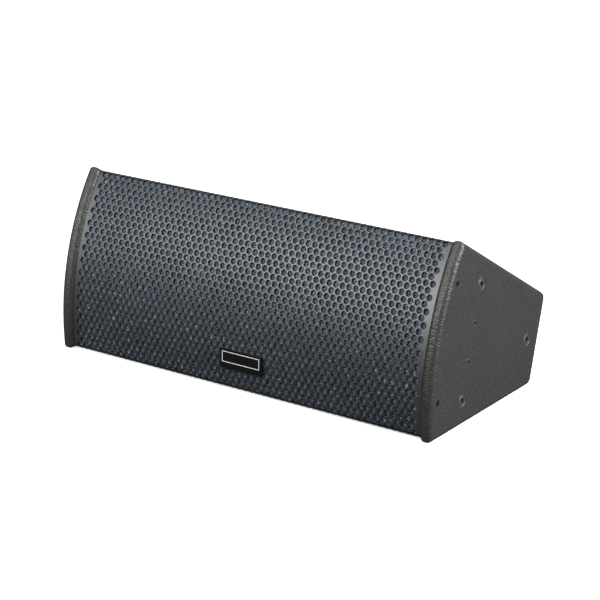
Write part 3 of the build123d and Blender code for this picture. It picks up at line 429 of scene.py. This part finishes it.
@dataclass(frozen=True)
class Wedge:
    """The cabinet's own frame: across the width, in from the front chord, up from the middle plane."""

    width: float = 600 * MM
    front_height: float = 255 * MM
    slope: float = math.radians(15.0)
    bulge: float = 23.5 * MM
    side_thickness: float = 18 * MM
    top_inset: float = 0.8 * MM
    bottom_inset: float = 1.5 * MM
    grille_inset: float = 5 * MM
    baffle_depth: float = 14 * MM

    @property
    def front_radius(self) -> float:
        """Radius of the side panels' front edge."""
        return (self.front_height**2 / 4 + self.bulge**2) / (2 * self.bulge)

    @property
    def arc_centre(self) -> float:
        """Depth of that edge's centre."""
        return self.front_radius - self.bulge

    @property
    def grille_radius(self) -> float:
        """Radius of the grille's outer face."""
        return self.front_radius - self.grille_inset

    @property
    def inner_width(self) -> float:
        """Between the side panels."""
        return self.width - 2 * self.side_thickness

    @property
    def shift(self) -> float:
        """How far this frame lies behind the shared one, from where the side panel's front edge is."""
        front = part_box("right_side_panel")[0].y
        return front + self.front_radius - self.arc_centre * math.cos(self.slope)

    def place(self, points: np.ndarray) -> np.ndarray:
        """Move points from this frame to the shared frame.

        Args:
            points: rows of across, depth and height.

        Returns:
            Rows of x, y and z.
        """
        across, depth, height = np.asarray(points, float).T
        cos, sin = math.cos(self.slope), math.sin(self.slope)
        y = depth * cos + height * sin + self.shift
        z = -depth * sin + height * cos + self.front_height / 2 * cos
        return np.stack([across, y, z], axis=1)

    def front_axis(self) -> Vector:
        """The way the drivers face, in the shared frame."""
        return Vector((0.0, -math.cos(self.slope), math.sin(self.slope)))


# --- grille --------------------------------------------------------------------------------------------
@dataclass(frozen=True)
class Fold:
    """Where the grille's curve ends, its bend's centre lies and how long its flat return is."""

    angle: float
    depth: float
    height: float
    length: float


@dataclass
class Grille:
    """Punched steel sheet, curved like the side panels and folded back at the top and bottom."""

    wedge: Wedge
    pitch: float = 10.08 * MM
    hole: float = 8.7 * MM
    sheet: float = 1.2 * MM
    rim: float = 0.22 * MM
    bend: float = 5 * MM
    end_depth: float = 16.4 * MM
    gap: float = 0.4 * MM
    side_margin: float = 3.3 * MM
    corners: int = 12
    punched_rows: int = 14
    rows: int = 35
    columns: int = 57
    cell_weld: float = 0.02 * MM
    sheet_weld: float = 0.005 * MM

    def __post_init__(self) -> None:
        """Work out the side view's turning points."""
        self.row_step = self.pitch * math.sqrt(3) / 2
        self.half_width = self.wedge.inner_width / 2 - self.gap
        self.folds = {side: self.fold(side) for side in (1.0, -1.0)}

    def fold(self, side: float) -> Fold:
        """Find where the curve, the bend and the flat return meet.

        Args:
            side: 1 for the top, -1 for the bottom.

        Returns:
            The fold. The bend's centre is as far from the curve's centre as the inside of the curve allows,
            and as far below the wedge's own top or bottom plane as the inset and the bend ask.
        """
        wedge = self.wedge
        inset = wedge.top_inset if side > 0 else wedge.bottom_inset
        tan, cos, sin = math.tan(wedge.slope), math.cos(wedge.slope), math.sin(wedge.slope)
        reach = wedge.grille_radius - self.bend
        level = wedge.front_height / 2 - (inset + self.bend) / cos
        centre_depth = wedge.arc_centre
        square = 1 + tan**2
        single = -2 * centre_depth - 2 * level * tan
        constant = centre_depth**2 + level**2 - reach**2
        depth = (-single - math.sqrt(single * single - 4 * square * constant)) / (2 * square)
        height = level - depth * tan
        angle = math.atan2(height, centre_depth - depth)
        length = (self.end_depth - (depth + self.bend * sin)) / cos
        return Fold(angle, depth, height, length)

    def profile(self, run: np.ndarray) -> tuple[np.ndarray, np.ndarray]:
        """Follow the side view of the outer face.

        Args:
            run: distances along it from its middle, upwards.

        Returns:
            Points as depth and height, and outward normals.
        """
        radius, slope = self.wedge.grille_radius, self.wedge.slope
        points, normals = np.zeros((len(run), 2)), np.zeros((len(run), 2))
        for side, fold in self.folds.items():
            mine = run * side >= 0
            far = np.abs(run[mine])
            curve_end = radius * fold.angle
            bend_end = curve_end + self.bend * (math.pi / 2 - slope - fold.angle)
            turn = np.minimum(far, curve_end) / radius
            turn = turn + np.clip(far - curve_end, 0, bend_end - curve_end) / self.bend
            normal = np.stack([-np.cos(turn), np.sin(turn)], axis=1)
            on_curve = np.array([self.wedge.arc_centre, 0.0]) + radius * normal
            on_bend = np.array([fold.depth, fold.height]) + self.bend * normal
            straight = np.clip(far - bend_end, 0, None)[:, None]
            on_bend = on_bend + straight * np.array([math.cos(slope), -math.sin(slope)])
            point = np.where((far <= curve_end)[:, None], on_curve, on_bend)
            points[mine] = point * [1.0, side]
            normals[mine] = normal * [1.0, side]
        return points, normals

    def run_end(self, side: float) -> float:
        """Distance along the side view to the end of the fold on one side.

        Args:
            side: 1 for the top, -1 for the bottom.

        Returns:
            The distance from the middle, positive upwards.
        """
        fold = self.folds[side]
        curve = self.wedge.grille_radius * fold.angle
        bend = self.bend * (math.pi / 2 - self.wedge.slope - fold.angle)
        return side * (curve + bend + fold.length)

    def cell(self, name: str, rings: Sequence[tuple[float | None, float]]) -> bpy.types.Object:
        """Make one flat six-sided cell of the sheet from rings of corners.

        Args:
            name: the cell's name.
            rings: radius and height of each ring; no radius means the cell's outline.

        Returns:
            A loose object that the lattice copies.
        """
        points, faces = [], []
        step = math.tau / self.corners
        for radius, height in rings:
            for corner in range(self.corners):
                angle = corner * step
                off_side = (angle + math.pi / 6) % (math.pi / 3) - math.pi / 6
                reach = self.pitch / 2 / math.cos(off_side) if radius is None else radius
                points.append((reach * math.cos(angle), reach * math.sin(angle), height))
        for ring in range(len(rings) - 1):
            if rings[ring][0] is None and rings[ring + 1][0] is None:
                continue
            for corner in range(self.corners):
                after = (corner + 1) % self.corners
                low, high = ring * self.corners, (ring + 1) * self.corners
                faces.append((low + corner, low + after, high + after, high + corner))
        mesh = bpy.data.meshes.new(name)
        mesh.from_pydata(points, [], faces)
        cell = bpy.data.objects.new(name, mesh)
        tidy_mesh(cell, merge=1e-7)
        return cell

    def lattice_tree(self) -> bpy.types.NodeTree:
        """Build the node tree that lays punched and plain cells out in staggered rows.

        Returns:
            The tree, with its sizes, cells and finish as named inputs.
        """
        tree = bpy.data.node_groups.new("staggered_cells", "GeometryNodeTree")
        tree.is_modifier = True
        sockets = {
            "Pitch": "NodeSocketFloat",
            "Row Step": "NodeSocketFloat",
            "Columns": "NodeSocketInt",
            "Rows": "NodeSocketInt",
            "Punched Half Width": "NodeSocketFloat",
            "Punched Half Height": "NodeSocketFloat",
            "Punched Cell": "NodeSocketObject",
            "Plain Cell": "NodeSocketObject",
            "Finish": "NodeSocketMaterial",
        }
        tree.interface.new_socket(name="Geometry", in_out="OUTPUT", socket_type="NodeSocketGeometry")
        for name, kind in sockets.items():
            tree.interface.new_socket(name=name, in_out="INPUT", socket_type=kind)
        given = add(tree, "NodeGroupInput").outputs

        pitch, row_step = given["Pitch"], given["Row Step"]
        wide = maths(tree, "MULTIPLY", pitch, maths(tree, "SUBTRACT", given["Columns"], 1))
        tall = maths(tree, "MULTIPLY", row_step, maths(tree, "SUBTRACT", given["Rows"], 1))
        grid = add(
            tree,
            "GeometryNodeMeshGrid",
            None,
            {"Size X": wide, "Size Y": tall, "Vertices X": given["Columns"], "Vertices Y": given["Rows"]},
        )
        place = add(tree, "GeometryNodeInputPosition")
        parts = add(tree, "ShaderNodeSeparateXYZ", None, {0: place.outputs[0]}).outputs
        row = maths(tree, "ROUND", maths(tree, "DIVIDE", parts["Y"], row_step))
        odd = maths(tree, "FLOORED_MODULO", row, 2.0)
        stagger = maths(tree, "MULTIPLY", odd, maths(tree, "MULTIPLY", pitch, 0.5))
        move = add(tree, "ShaderNodeCombineXYZ", None, {"X": stagger}).outputs[0]
        moved = add(tree, "GeometryNodeSetPosition", None, {"Geometry": grid.outputs[0], "Offset": move})
        inside = maths(tree, "LESS_THAN", maths(tree, "ABSOLUTE", parts["X"]), given["Punched Half Width"])
        within = maths(tree, "LESS_THAN", maths(tree, "ABSOLUTE", parts["Y"]), given["Punched Half Height"])
        punched = maths(tree, "MULTIPLY", inside, within)
        plain = maths(tree, "SUBTRACT", 1.0, punched)
        laid = []
        for cell, chosen in (("Punched Cell", punched), ("Plain Cell", plain)):
            shape = add(tree, "GeometryNodeObjectInfo", None, {"Object": given[cell]}).outputs["Geometry"]
            source = {"Points": moved.outputs[0], "Instance": shape, "Selection": chosen}
            laid.append(add(tree, "GeometryNodeInstanceOnPoints", None, source))
        joined = add(tree, "GeometryNodeJoinGeometry")
        for copies in laid:
            tree.links.new(copies.outputs[0], joined.inputs[0])
        real = add(tree, "GeometryNodeRealizeInstances", None, {"Geometry": joined.outputs[0]})
        merged = add(
            tree, "GeometryNodeMergeByDistance", {"Distance": self.cell_weld}, {"Geometry": real.outputs[0]}
        )
        painted = {"Geometry": merged.outputs[0], "Material": given["Finish"]}
        dressed = add(tree, "GeometryNodeSetMaterial", None, painted)
        add(tree, "NodeGroupOutput", None, {0: dressed.outputs[0]})
        return tree

    def flat_sheet(self) -> bpy.types.Object:
        """Lay the cells out flat: X across, Y along the side view, Z out of the sheet.

        Returns:
            The flat sheet, larger than the grille all round.
        """
        hole = self.hole / 2
        back = -self.sheet
        rounded = [(hole + self.rim, 0.0), (hole, -self.rim)]
        punched = self.cell("punched_cell", [(None, 0.0), *rounded, (hole, back), (None, back)])
        plain = self.cell("plain_cell", [(0.0, 0.0), (None, 0.0), (None, back), (0.0, back)])
        sheet = bpy.data.objects.new("perforated_grille", bpy.data.meshes.new("flat"))
        bpy.context.scene.collection.objects.link(sheet)
        layer = sheet.modifiers.new("cells", "NODES")
        layer.node_group = self.lattice_tree()
        values = {
            "Pitch": self.pitch,
            "Row Step": self.row_step,
            "Columns": self.columns,
            "Rows": self.rows,
            "Punched Half Width": self.half_width - self.side_margin - hole,
            "Punched Half Height": (self.punched_rows + 0.5) * self.row_step,
            "Punched Cell": punched,
            "Plain Cell": plain,
            "Finish": POWDER_COAT.material(),
        }
        for item in layer.node_group.interface.items_tree:
            if item.in_out == "INPUT":
                layer[item.identifier] = values[item.name]
        bpy.context.view_layer.update()
        plain_mesh(sheet)
        for cell in (punched, plain):
            bpy.data.objects.remove(cell)
        return sheet

    def trim(self, sheet: bpy.types.Object) -> None:
        """Cut the flat sheet to size and close its outer edge.

        Args:
            sheet: the flat sheet.
        """
        low, high = self.run_end(-1.0), self.run_end(1.0)
        grid = bmesh.new()
        grid.from_mesh(sheet.data)
        cuts = [
            (Vector((self.half_width, 0, 0)), Vector((1, 0, 0))),
            (Vector((-self.half_width, 0, 0)), Vector((-1, 0, 0))),
            (Vector((0, high, 0)), Vector((0, 1, 0))),
            (Vector((0, low, 0)), Vector((0, -1, 0))),
        ]
        for point, outwards in cuts:
            everything = list(grid.verts) + list(grid.edges) + list(grid.faces)
            bmesh.ops.bisect_plane(grid, geom=everything, plane_co=point, plane_no=outwards, clear_outer=True)
        edge = [e for e in grid.edges if e.is_boundary]
        bmesh.ops.bridge_loops(grid, edges=edge)
        grid.to_mesh(sheet.data)
        grid.free()

    def bend_sheet(self, sheet: bpy.types.Object) -> None:
        """Wrap the flat sheet round the side view and lay it in the shared frame.

        Args:
            sheet: the flat sheet, cut to size.
        """
        mesh = sheet.data
        flat = np.zeros(len(mesh.vertices) * 3)
        mesh.vertices.foreach_get("co", flat)
        across, run, out = flat.reshape(-1, 3).T
        points, normals = self.profile(run)
        side_view = points + normals * out[:, None]
        placed = self.wedge.place(np.column_stack([across, side_view]))
        mesh.vertices.foreach_set("co", placed.ravel())
        mesh.update()

    def build(self) -> bpy.types.Object:
        """Make the grille, hang it on the cabinet's body and hide the CAD grille.

        Returns:
            The grille.
        """
        sheet = self.flat_sheet()
        self.trim(sheet)
        self.bend_sheet(sheet)
        tidy_mesh(sheet, merge=self.sheet_weld, smooth_degrees=40.0)
        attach(sheet, "cabinet")
        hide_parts("grille")
        return sheet


@dataclass
class FoamLining:
    """Sheet of acoustic foam behind the grille: thinner towards its ends, each face puckered its own way."""

    wedge: Wedge
    grille: Grille
    gap: float = 1.6 * MM
    thickness: float = 5.0 * MM
    spacing: float = 3.0 * MM
    side_gap: float = 5.0 * MM
    end_thickness: float = 1.0 * MM
    end_depth: float = 8.5 * MM
    taper: float = 20 * MM
    pucker: float = 0.25 * MM
    puckers_per_metre: float = 90.0
    face_change: float = 900.0

    def build(self) -> bpy.types.Object:
        """Make the lining from its outer and inner faces.

        Returns:
            The lining.
        """
        half = self.wedge.inner_width / 2 - self.side_gap
        ends = [self.grille.run_end(s) - s * (self.grille.end_depth - self.end_depth) for s in (-1.0, 1.0)]
        across = np.linspace(-half, half, round(2 * half / self.spacing) + 1)
        run = np.linspace(ends[0], ends[1], round((ends[1] - ends[0]) / self.spacing) + 1)
        curve_ends = [self.wedge.grille_radius * fold.angle for fold in self.grille.folds.values()]
        to_bend = np.clip((min(curve_ends) - np.abs(run)) / self.taper, 0.0, 1.0)
        thick = self.end_thickness + (self.thickness - self.end_thickness) * to_bend
        points = []
        for below in (np.zeros(len(run)), thick):
            middle, normals = self.grille.profile(run)
            base = middle - normals * (self.grille.sheet + self.gap + below)[:, None]
            for x in across:
                spots = np.column_stack([np.full(len(run), x), run]) * self.puckers_per_metre
                spots = np.column_stack([spots, below * self.face_change])
                rise = np.array([noise.noise(Vector(spot)) for spot in spots])
                side_view = base + normals * (rise * self.pucker - self.pucker)[:, None]
                points.append(np.column_stack([np.full(len(run), x), side_view]))
        points = self.wedge.place(np.concatenate(points))
        wide, tall = len(across), len(run)
        sheet = wide * tall

        def number(layer: int, i: int, j: int) -> int:
            """Corner number from layer, column and row."""
            return layer * sheet + i * tall + j

        faces = []
        turns = ((0, 0), (1, 0), (1, 1), (0, 1))
        for layer in (0, 1):
            for i in range(wide - 1):
                for j in range(tall - 1):
                    faces.append([number(layer, i + right, j + up) for right, up in turns])
        rim = [(i, 0) for i in range(wide)] + [(wide - 1, j) for j in range(1, tall)]
        rim += [(i, tall - 1) for i in range(wide - 2, -1, -1)] + [(0, j) for j in range(tall - 2, 0, -1)]
        for (i, j), (m, n) in zip(rim, rim[1:] + rim[:1]):
            faces.append((number(0, i, j), number(0, m, n), number(1, m, n), number(1, i, j)))
        lining = new_piece("foam_lining", points, faces, ACOUSTIC_FOAM)
        tidy_mesh(lining, smooth_degrees=50.0)
        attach(lining, "cabinet")
        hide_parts("grille_foam")
        return lining


@dataclass
class BadgeLine:
    """Thin raised line round the bare badge plate."""

    wedge: Wedge
    grille: Grille
    width: float = 68 * MM
    height: float = 27 * MM
    plate: float = 2.05 * MM
    side_inset: float = 3.9 * MM
    top_inset: float = 3.6 * MM
    line_height: float = 15 * MM
    line: float = 0.9 * MM
    sunk: float = 0.05 * MM
    raised: float = 0.25 * MM
    across: float = 6.5 * MM
    rise: float = -85 * MM

    def build(self) -> bpy.types.Object:
        """Make the line as a closed frame standing on the plate.

        Returns:
            The line.
        """
        point, normal = self.grille.profile(np.array([self.rise]))
        up = np.array([normal[0][1], -normal[0][0]])
        points, faces = [], []
        middle = self.height / 2 - self.top_inset - self.line_height / 2
        for out in (self.plate - self.sunk, self.plate + self.raised):
            for inward in (0.0, self.line):
                half_wide = self.width / 2 - self.side_inset - inward
                half_tall = self.line_height / 2 - inward
                for x, y in ((-1, -1), (1, -1), (1, 1), (-1, 1)):
                    side_view = point[0] + normal[0] * out + up * (middle + y * half_tall)
                    points.append((self.across + x * half_wide, *side_view))
        for corner in range(4):
            after = (corner + 1) % 4
            rings = [(0, 4), (4, 12), (12, 8), (8, 0)]
            for first, second in rings:
                faces.append((first + corner, first + after, second + after, second + corner))
        line = new_piece("badge_border_line", self.wedge.place(np.array(points)), faces, LACQUER)
        tidy_mesh(line, smooth_degrees=20.0)
        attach(line, "cabinet")
        return line


# --- drivers -------------------------------------------------------------------------------------------
@dataclass
class FlexRing:
    """A round soft edge, turned from an outline round the driver's axis."""

    name: str
    node: str
    slot: str
    finish: Finish
    outline: list[tuple[float, float]]
    rim: float
    neck: float
    steps: int = 96

    def build(self, wedge: Wedge, across: float, moving_body: str) -> bpy.types.Object:
        """Turn the outline round the driver's axis, lay it in the shared frame and hide the CAD part of its
        node.

        Args:
            wedge: the cabinet's frame.
            across: the driver's place along the width.
            moving_body: not used.

        Returns:
            The finished ring.
        """
        points, faces = [], []
        count = len(self.outline)
        for step in range(self.steps):
            angle = math.tau * step / self.steps
            for radius, forward in self.outline:
                x, z = across + radius * math.cos(angle), radius * math.sin(angle)
                points.append((x, wedge.baffle_depth - forward, z))
            for i in range(count):
                j, after = (i + 1) % count, (step + 1) % self.steps
                faces.append((step * count + i, step * count + j, after * count + j, after * count + i))
        ring = new_piece(self.name, wedge.place(np.array(points)), faces, self.finish)
        tidy_mesh(ring, smooth_degrees=50.0)
        centre = wedge.place(np.array([[across, wedge.baffle_depth, 0.0]]))[0]
        start, end = centre + [self.rim, 0.0, 0.0], centre + [self.neck, 0.0, 0.0]
        tuple(start)
        tuple(end)
        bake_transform(ring)
        self.flex_round(ring, centre, wedge.front_axis())
        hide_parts(self.node)
        return ring

    def flex_round(self, ring: bpy.types.Object, centre: np.ndarray, axis: Vector) -> None:
        """Work out for each corner a share that rises from the rim to the neck, by distance from the driver's
        axis; nothing uses the share.

        Args:
            ring: the ring.
            centre: a point on the driver's axis.
            axis: the way the driver faces.
        """
        corners = np.zeros(len(ring.data.vertices) * 3)
        ring.data.vertices.foreach_get("co", corners)
        away = corners.reshape(-1, 3) - centre
        along = away @ np.array(axis)
        radius = np.linalg.norm(away - np.outer(along, np.array(axis)), axis=1)
        share = np.clip((self.rim - radius) / (self.rim - self.neck), 0.0, 1.0)
        share = share * share * (3 - 2 * share)


@dataclass
class Woofer:
    """The soft parts of one woofer."""

    wedge: Wedge
    side: str
    across: float = 190 * MM
    cone_radius: float = 57 * MM
    land_radius: float = 68 * MM
    land_width: float = 5.6 * MM
    lip_width: float = 3 * MM
    flange: float = 4 * MM
    cloth: float = 0.8 * MM
    roll_steps: int = 12
    neck_gap: float = 0.4 * MM
    former_radius: float = 19.5 * MM
    spider_back: float = -33 * MM
    spider_radius: float = 50 * MM
    spider_cloth: float = 0.6 * MM
    waves: int = 5
    wave_height: float = 1.3 * MM
    wave_steps: int = 8
    wave_end: float = 44 * MM
    glue_width: float = 1 * MM

    def surround(self) -> list[tuple[float, float]]:
        """Half-roll outline with its glued land and lip, as radius and distance out of the baffle.

        Returns:
            The outline's corners in order.
        """
        middle = (self.land_radius + self.cone_radius) / 2
        roll = (self.land_radius - self.cone_radius) / 2
        half = self.cloth / 2
        outer, inner = [], []
        for step in range(self.roll_steps + 1):
            cos = math.cos(math.pi * step / self.roll_steps)
            sin = math.sin(math.pi * step / self.roll_steps)
            outer.append((middle + (roll + half) * cos, self.flange + (roll + half) * sin))
            inner.append((middle + (roll - half) * cos, self.flange + (roll - half) * sin))
        top = self.flange + self.cloth
        rim, neck = self.land_radius + self.land_width, self.cone_radius - self.lip_width
        land = [(rim, self.flange), (rim, top)]
        lip = [(neck, top), (neck, self.flange)]
        outer = [p for p in outer if p[1] >= top]
        return land + outer + lip + inner[::-1]

    def spider(self) -> list[tuple[float, float]]:
        """Corrugated outline, as radius and distance out of the baffle.

        Returns:
            The outline's corners in order.
        """
        steps = self.waves * self.wave_steps
        upper = []
        for step in range(steps + 1):
            radius = self.former_radius + (self.wave_end - self.former_radius) * step / steps
            turn = math.tau * self.waves * step / steps
            upper.append((radius, self.spider_back + self.wave_height * math.sin(turn)))
        upper.append((self.spider_radius, self.spider_back))
        return upper + [(radius, height - self.spider_cloth) for radius, height in reversed(upper)]

    def build(self) -> list[bpy.types.Object]:
        """Make the surround and the spider.

        Returns:
            Both rings.
        """
        across = self.across if self.side == "right" else -self.across
        body = f"{self.side}_cone_assembly"
        rings = [
            FlexRing(
                f"{self.side}_surround_roll",
                f"{self.side}_woofer_surround",
                "coated_cloth",
                COATED_COTTON,
                self.surround(),
                rim=self.land_radius,
                neck=self.cone_radius + self.neck_gap,
            ),
            FlexRing(
                f"{self.side}_corrugated_spider",
                f"{self.side}_woofer_spider",
                "spider_cloth",
                AMBER_COTTON,
                self.spider(),
                rim=self.wave_end,
                neck=self.former_radius + self.glue_width,
            ),
        ]
        return [ring.build(self.wedge, across, body) for ring in rings]


@dataclass
class HornSuspension:
    """The flat flexing ring between the horn driver's dome and its plate, with two shallow waves."""

    wedge: Wedge
    rim: float = 34 * MM
    neck: float = 22.4 * MM
    back: float = -98 * MM
    cloth: float = 0.5 * MM
    waves: int = 2
    wave_height: float = 0.2 * MM
    steps: int = 16
    rim_glue: float = 1 * MM
    neck_glue: float = 0.5 * MM

    def build(self) -> bpy.types.Object:
        """Make the ring.

        Returns:
            The ring.
        """
        front = []
        for step in range(self.steps + 1):
            share = step / self.steps
            wave = self.wave_height * (math.cos(math.tau * self.waves * share) - 1) / 2
            front.append((self.rim + (self.neck - self.rim) * share, self.back + wave))
        outline = front + [(radius, forward - self.cloth) for radius, forward in reversed(front)]
        ring = FlexRing(
            "hf_waved_suspension",
            "hf_suspension",
            "coated_cloth",
            COATED_COTTON,
            outline,
            rim=self.rim - self.rim_glue,
            neck=self.neck + self.neck_glue,
        )
        return ring.build(self.wedge, 0.0, "hf_dome_assembly")


@dataclass
class DampingPads:
    """Blocks of wadding with soft, uneven faces, on the back panel and the bottom panel."""

    wedge: Wedge
    cuts: int = 24
    lump: float = 2.2 * MM
    corner_round: float = 0.06
    corner_power: int = 6
    lumps: float = 7.0
    lump_change: float = 40.0
    rear_low: Point = (-270 * MM, 196.5 * MM, -33 * MM)
    rear_high: Point = (-130 * MM, 225.5 * MM, 29 * MM)
    floor_half_width: float = 100 * MM
    floor_depths: tuple[float, float] = (146 * MM, 199 * MM)
    floor_heights: tuple[float, float] = (0.5 * MM, 14 * MM)
    under_floor: float = 17 * MM

    def pad(self, name: str, low: Point, high: Point, tilt: float) -> bpy.types.Object:
        """Make one block as a puffed box.

        Args:
            name: the pad's name.
            low: lowest corner, in the cabinet's frame.
            high: highest corner.
            tilt: how much its floor rises per unit of depth.

        Returns:
            The finished pad.
        """
        grid = bmesh.new()
        bmesh.ops.create_cube(grid, size=1.0)
        bmesh.ops.subdivide_edges(grid, edges=grid.edges[:], cuts=self.cuts, use_grid_fill=True)
        middle = (np.array(low) + np.array(high)) / 2
        size = np.array(high) - np.array(low)
        points = []
        for corner in grid.verts:
            unit = np.array(corner.co) * 2
            far = np.abs(unit) ** self.corner_power
            round_off = 1 - self.corner_round * float(np.sum(far) - np.max(far))
            spot = Vector(corner.co) * self.lumps + Vector((size[0] * self.lump_change, 0, 0))
            ripple = noise.fractal(spot, 0.8, 2.0, 3)
            inside = 1 - 2 * self.lump / size * (1 + 0.5 * ripple)
            points.append(middle + unit / 2 * size * inside * round_off)
        points = np.array(points)
        points[:, 2] += tilt * (points[:, 1] - middle[1])
        for corner, point in zip(grid.verts, self.wedge.place(points)):
            corner.co = point
        mesh = bpy.data.meshes.new(name)
        grid.to_mesh(mesh)
        grid.free()
        mesh.materials.append(WADDING.material())
        pad = bpy.data.objects.new(name, mesh)
        bpy.context.scene.collection.objects.link(pad)
        tidy_mesh(pad, smooth_degrees=80.0)
        return pad

    def build(self) -> list[bpy.types.Object]:
        """Make the pad on the back panel and the one on the bottom panel.

        Returns:
            Both pads.
        """
        rear = self.pad("rear_wadding", self.rear_low, self.rear_high, 0.0)
        tilt = math.tan(self.wedge.slope)
        front, back = self.floor_depths
        below_middle = self.wedge.front_height / 2 - (front + back) / 2 * tilt
        level = self.under_floor / math.cos(self.wedge.slope) - below_middle
        low, high = (level + height for height in self.floor_heights)
        half = self.floor_half_width
        floor = self.pad("floor_wadding", (-half, front, low), (half, back, high), tilt)
        for pad in (rear, floor):
            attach(pad, "cabinet")
            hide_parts("damping_pads")
        return [rear, floor]


# --- finishes of the built parts ---------------------------------------------------------------------
def dress_parts() -> int:
    """Give every built part the finish of its slot.

    Returns:
        How many parts were dressed.
    """
    slots = {row["node"]: row["material_slot"] for row in frame["record"]["subparts"]}
    for name, node in frame["nodes"].items():
        finish = FINISH_OF_NODE.get(name, FINISH_OF_SLOT[slots[name]])
        node.data.materials.clear()
        node.data.materials.append(finish.material())
    return len(frame["nodes"])


# --- studio --------------------------------------------------------------------------------------------
def outwards(azimuth: float, elevation: float) -> Vector:
    """Direction from the object, by degrees round it from the front and degrees up."""
    turn, rise = math.radians(azimuth), math.radians(elevation)
    return Vector((math.sin(turn) * math.cos(rise), -math.cos(turn) * math.cos(rise), math.sin(rise)))


@dataclass(frozen=True)
class SoftBox:
    """A square area light that points at the object."""

    name: str
    azimuth: float
    elevation: float
    distance: float
    size: float
    power: float

    def build(self, target: Vector) -> bpy.types.Object:
        """Hang the light and aim it.

        Args:
            target: the point it shines at.

        Returns:
            The light.
        """
        back = outwards(self.azimuth, self.elevation)
        data = bpy.data.lights.new(self.name, "AREA")
        data.shape = "SQUARE"
        data.size = self.size
        data.energy = self.power
        light = bpy.data.objects.new(self.name, data)
        light.location = target + back * self.distance
        light.rotation_euler = back.to_track_quat("Z", "Y").to_euler()
        bpy.context.scene.collection.objects.link(light)
        return light


@dataclass
class Studio:
    """Plain pale floor, soft lights and the camera."""

    target: Vector = field(default_factory=lambda: Vector((0.0459, -0.0619, 0.1159)))
    azimuth: float = 34.683
    elevation: float = 18.926
    roll: float = 0.425
    distance: float = 2.7059
    lens: float = 123.38
    sensor: float = 36.0
    floor_size: float = 40.0
    floor_tone: str = "#FFFFFF"
    floor_glow: float = 0.55
    bounce_tone: str = "#4A4A4A"
    world_light: float = 0.3
    lights: tuple[SoftBox, ...] = (
        SoftBox("key_left", -30.0, 24.0, 2.2, 1.1, 34.0),
        SoftBox("high_left", -22.0, 58.0, 2.2, 1.2, 13.0),
        SoftBox("fill_right", 97.0, 30.0, 2.2, 1.2, 100.0),
    )

    def camera(self) -> None:
        """Place the camera by the angle it looks from."""
        turn = math.radians(self.azimuth)
        back = outwards(self.azimuth, self.elevation)
        right = Vector((math.cos(turn), math.sin(turn), 0.0))
        up = back.cross(right)
        lean = math.radians(self.roll)
        x_axis = right * math.cos(lean) + up * math.sin(lean)
        y_axis = up * math.cos(lean) - right * math.sin(lean)
        data = bpy.data.cameras.new("camera")
        data.lens = self.lens
        data.sensor_width = self.sensor
        camera = bpy.data.objects.new("camera", data)
        place = self.target + back * self.distance
        camera.matrix_world = Matrix(
            [(x_axis[i], y_axis[i], back[i], place[i]) for i in range(3)] + [(0.0, 0.0, 0.0, 1.0)]
        )
        bpy.context.scene.collection.objects.link(camera)
        bpy.context.scene.camera = camera

    def floor(self) -> None:
        """Lay the floor: white to the eye, darker as a reflector, as black flags round a set make it."""
        half = self.floor_size / 2
        corners = [(-half, -half, 0.0), (half, -half, 0.0), (half, half, 0.0), (-half, half, 0.0)]
        mesh = bpy.data.meshes.new("studio_floor")
        mesh.from_pydata(corners, [], [(0, 1, 2, 3)])
        floor = bpy.data.objects.new("studio_floor", mesh)
        bpy.context.scene.collection.objects.link(floor)
        paper = bpy.data.materials.new("floor_paper")
        paper.use_nodes = True
        tree = paper.node_tree
        tree.nodes.clear()
        tone = linear(self.floor_tone)
        seen = add(tree, "ShaderNodeBsdfDiffuse", {"Color": tone})
        glow = add(tree, "ShaderNodeEmission", {"Color": tone, "Strength": self.floor_glow})
        bright = add(tree, "ShaderNodeAddShader", None, {0: seen.outputs[0], 1: glow.outputs[0]})
        bounce = add(tree, "ShaderNodeBsdfDiffuse", {"Color": linear(self.bounce_tone)})
        either = camera_choice(tree, bounce.outputs[0], bright.outputs[0])
        add(tree, "ShaderNodeOutputMaterial", None, {"Surface": either})
        mesh.materials.append(paper)

    def surroundings(self) -> None:
        """White backdrop to the eye, soft grey as a light."""
        world = bpy.data.worlds.new("studio")
        world.use_nodes = True
        bpy.context.scene.world = world
        tree = world.node_tree
        tree.nodes.clear()
        white = (1.0, 1.0, 1.0, 1.0)
        backdrop = add(tree, "ShaderNodeBackground", {"Strength": 1.0, "Color": white})
        lighting = add(tree, "ShaderNodeBackground", {"Strength": self.world_light, "Color": white})
        either = camera_choice(tree, lighting.outputs[0], backdrop.outputs[0])
        add(tree, "ShaderNodeOutputWorld", None, {"Surface": either})

    def build(self) -> None:
        """Set up the whole studio."""
        bpy.context.scene.view_settings.view_transform = "Standard"
        self.surroundings()
        self.floor()
        self.camera()
        for light in self.lights:
            light.build(self.target)


def report(piece: bpy.types.Object) -> None:
    """Log a piece's name and how many triangles it has."""
    triangles = sum(len(face.vertices) - 2 for face in piece.data.polygons)
    log.info("%s: %d triangles", piece.name, triangles)


def main() -> None:
    """Build the pieces in order, dress the parts and set up the studio."""
    logging.basicConfig(level=logging.INFO, format="%(name)s: %(message)s")
    wedge = Wedge()
    log.info("%d parts dressed", dress_parts())
    grille = Grille(wedge)
    report(grille.build())
    report(FoamLining(wedge, grille).build())
    report(BadgeLine(wedge, grille).build())
    for side in ("left", "right"):
        for ring in Woofer(wedge, side).build():
            report(ring)
    report(HornSuspension(wedge).build())
    for pad in DampingPads(wedge).build():
        report(pad)
    Studio().build()


if __name__ == "__main__":
    main()
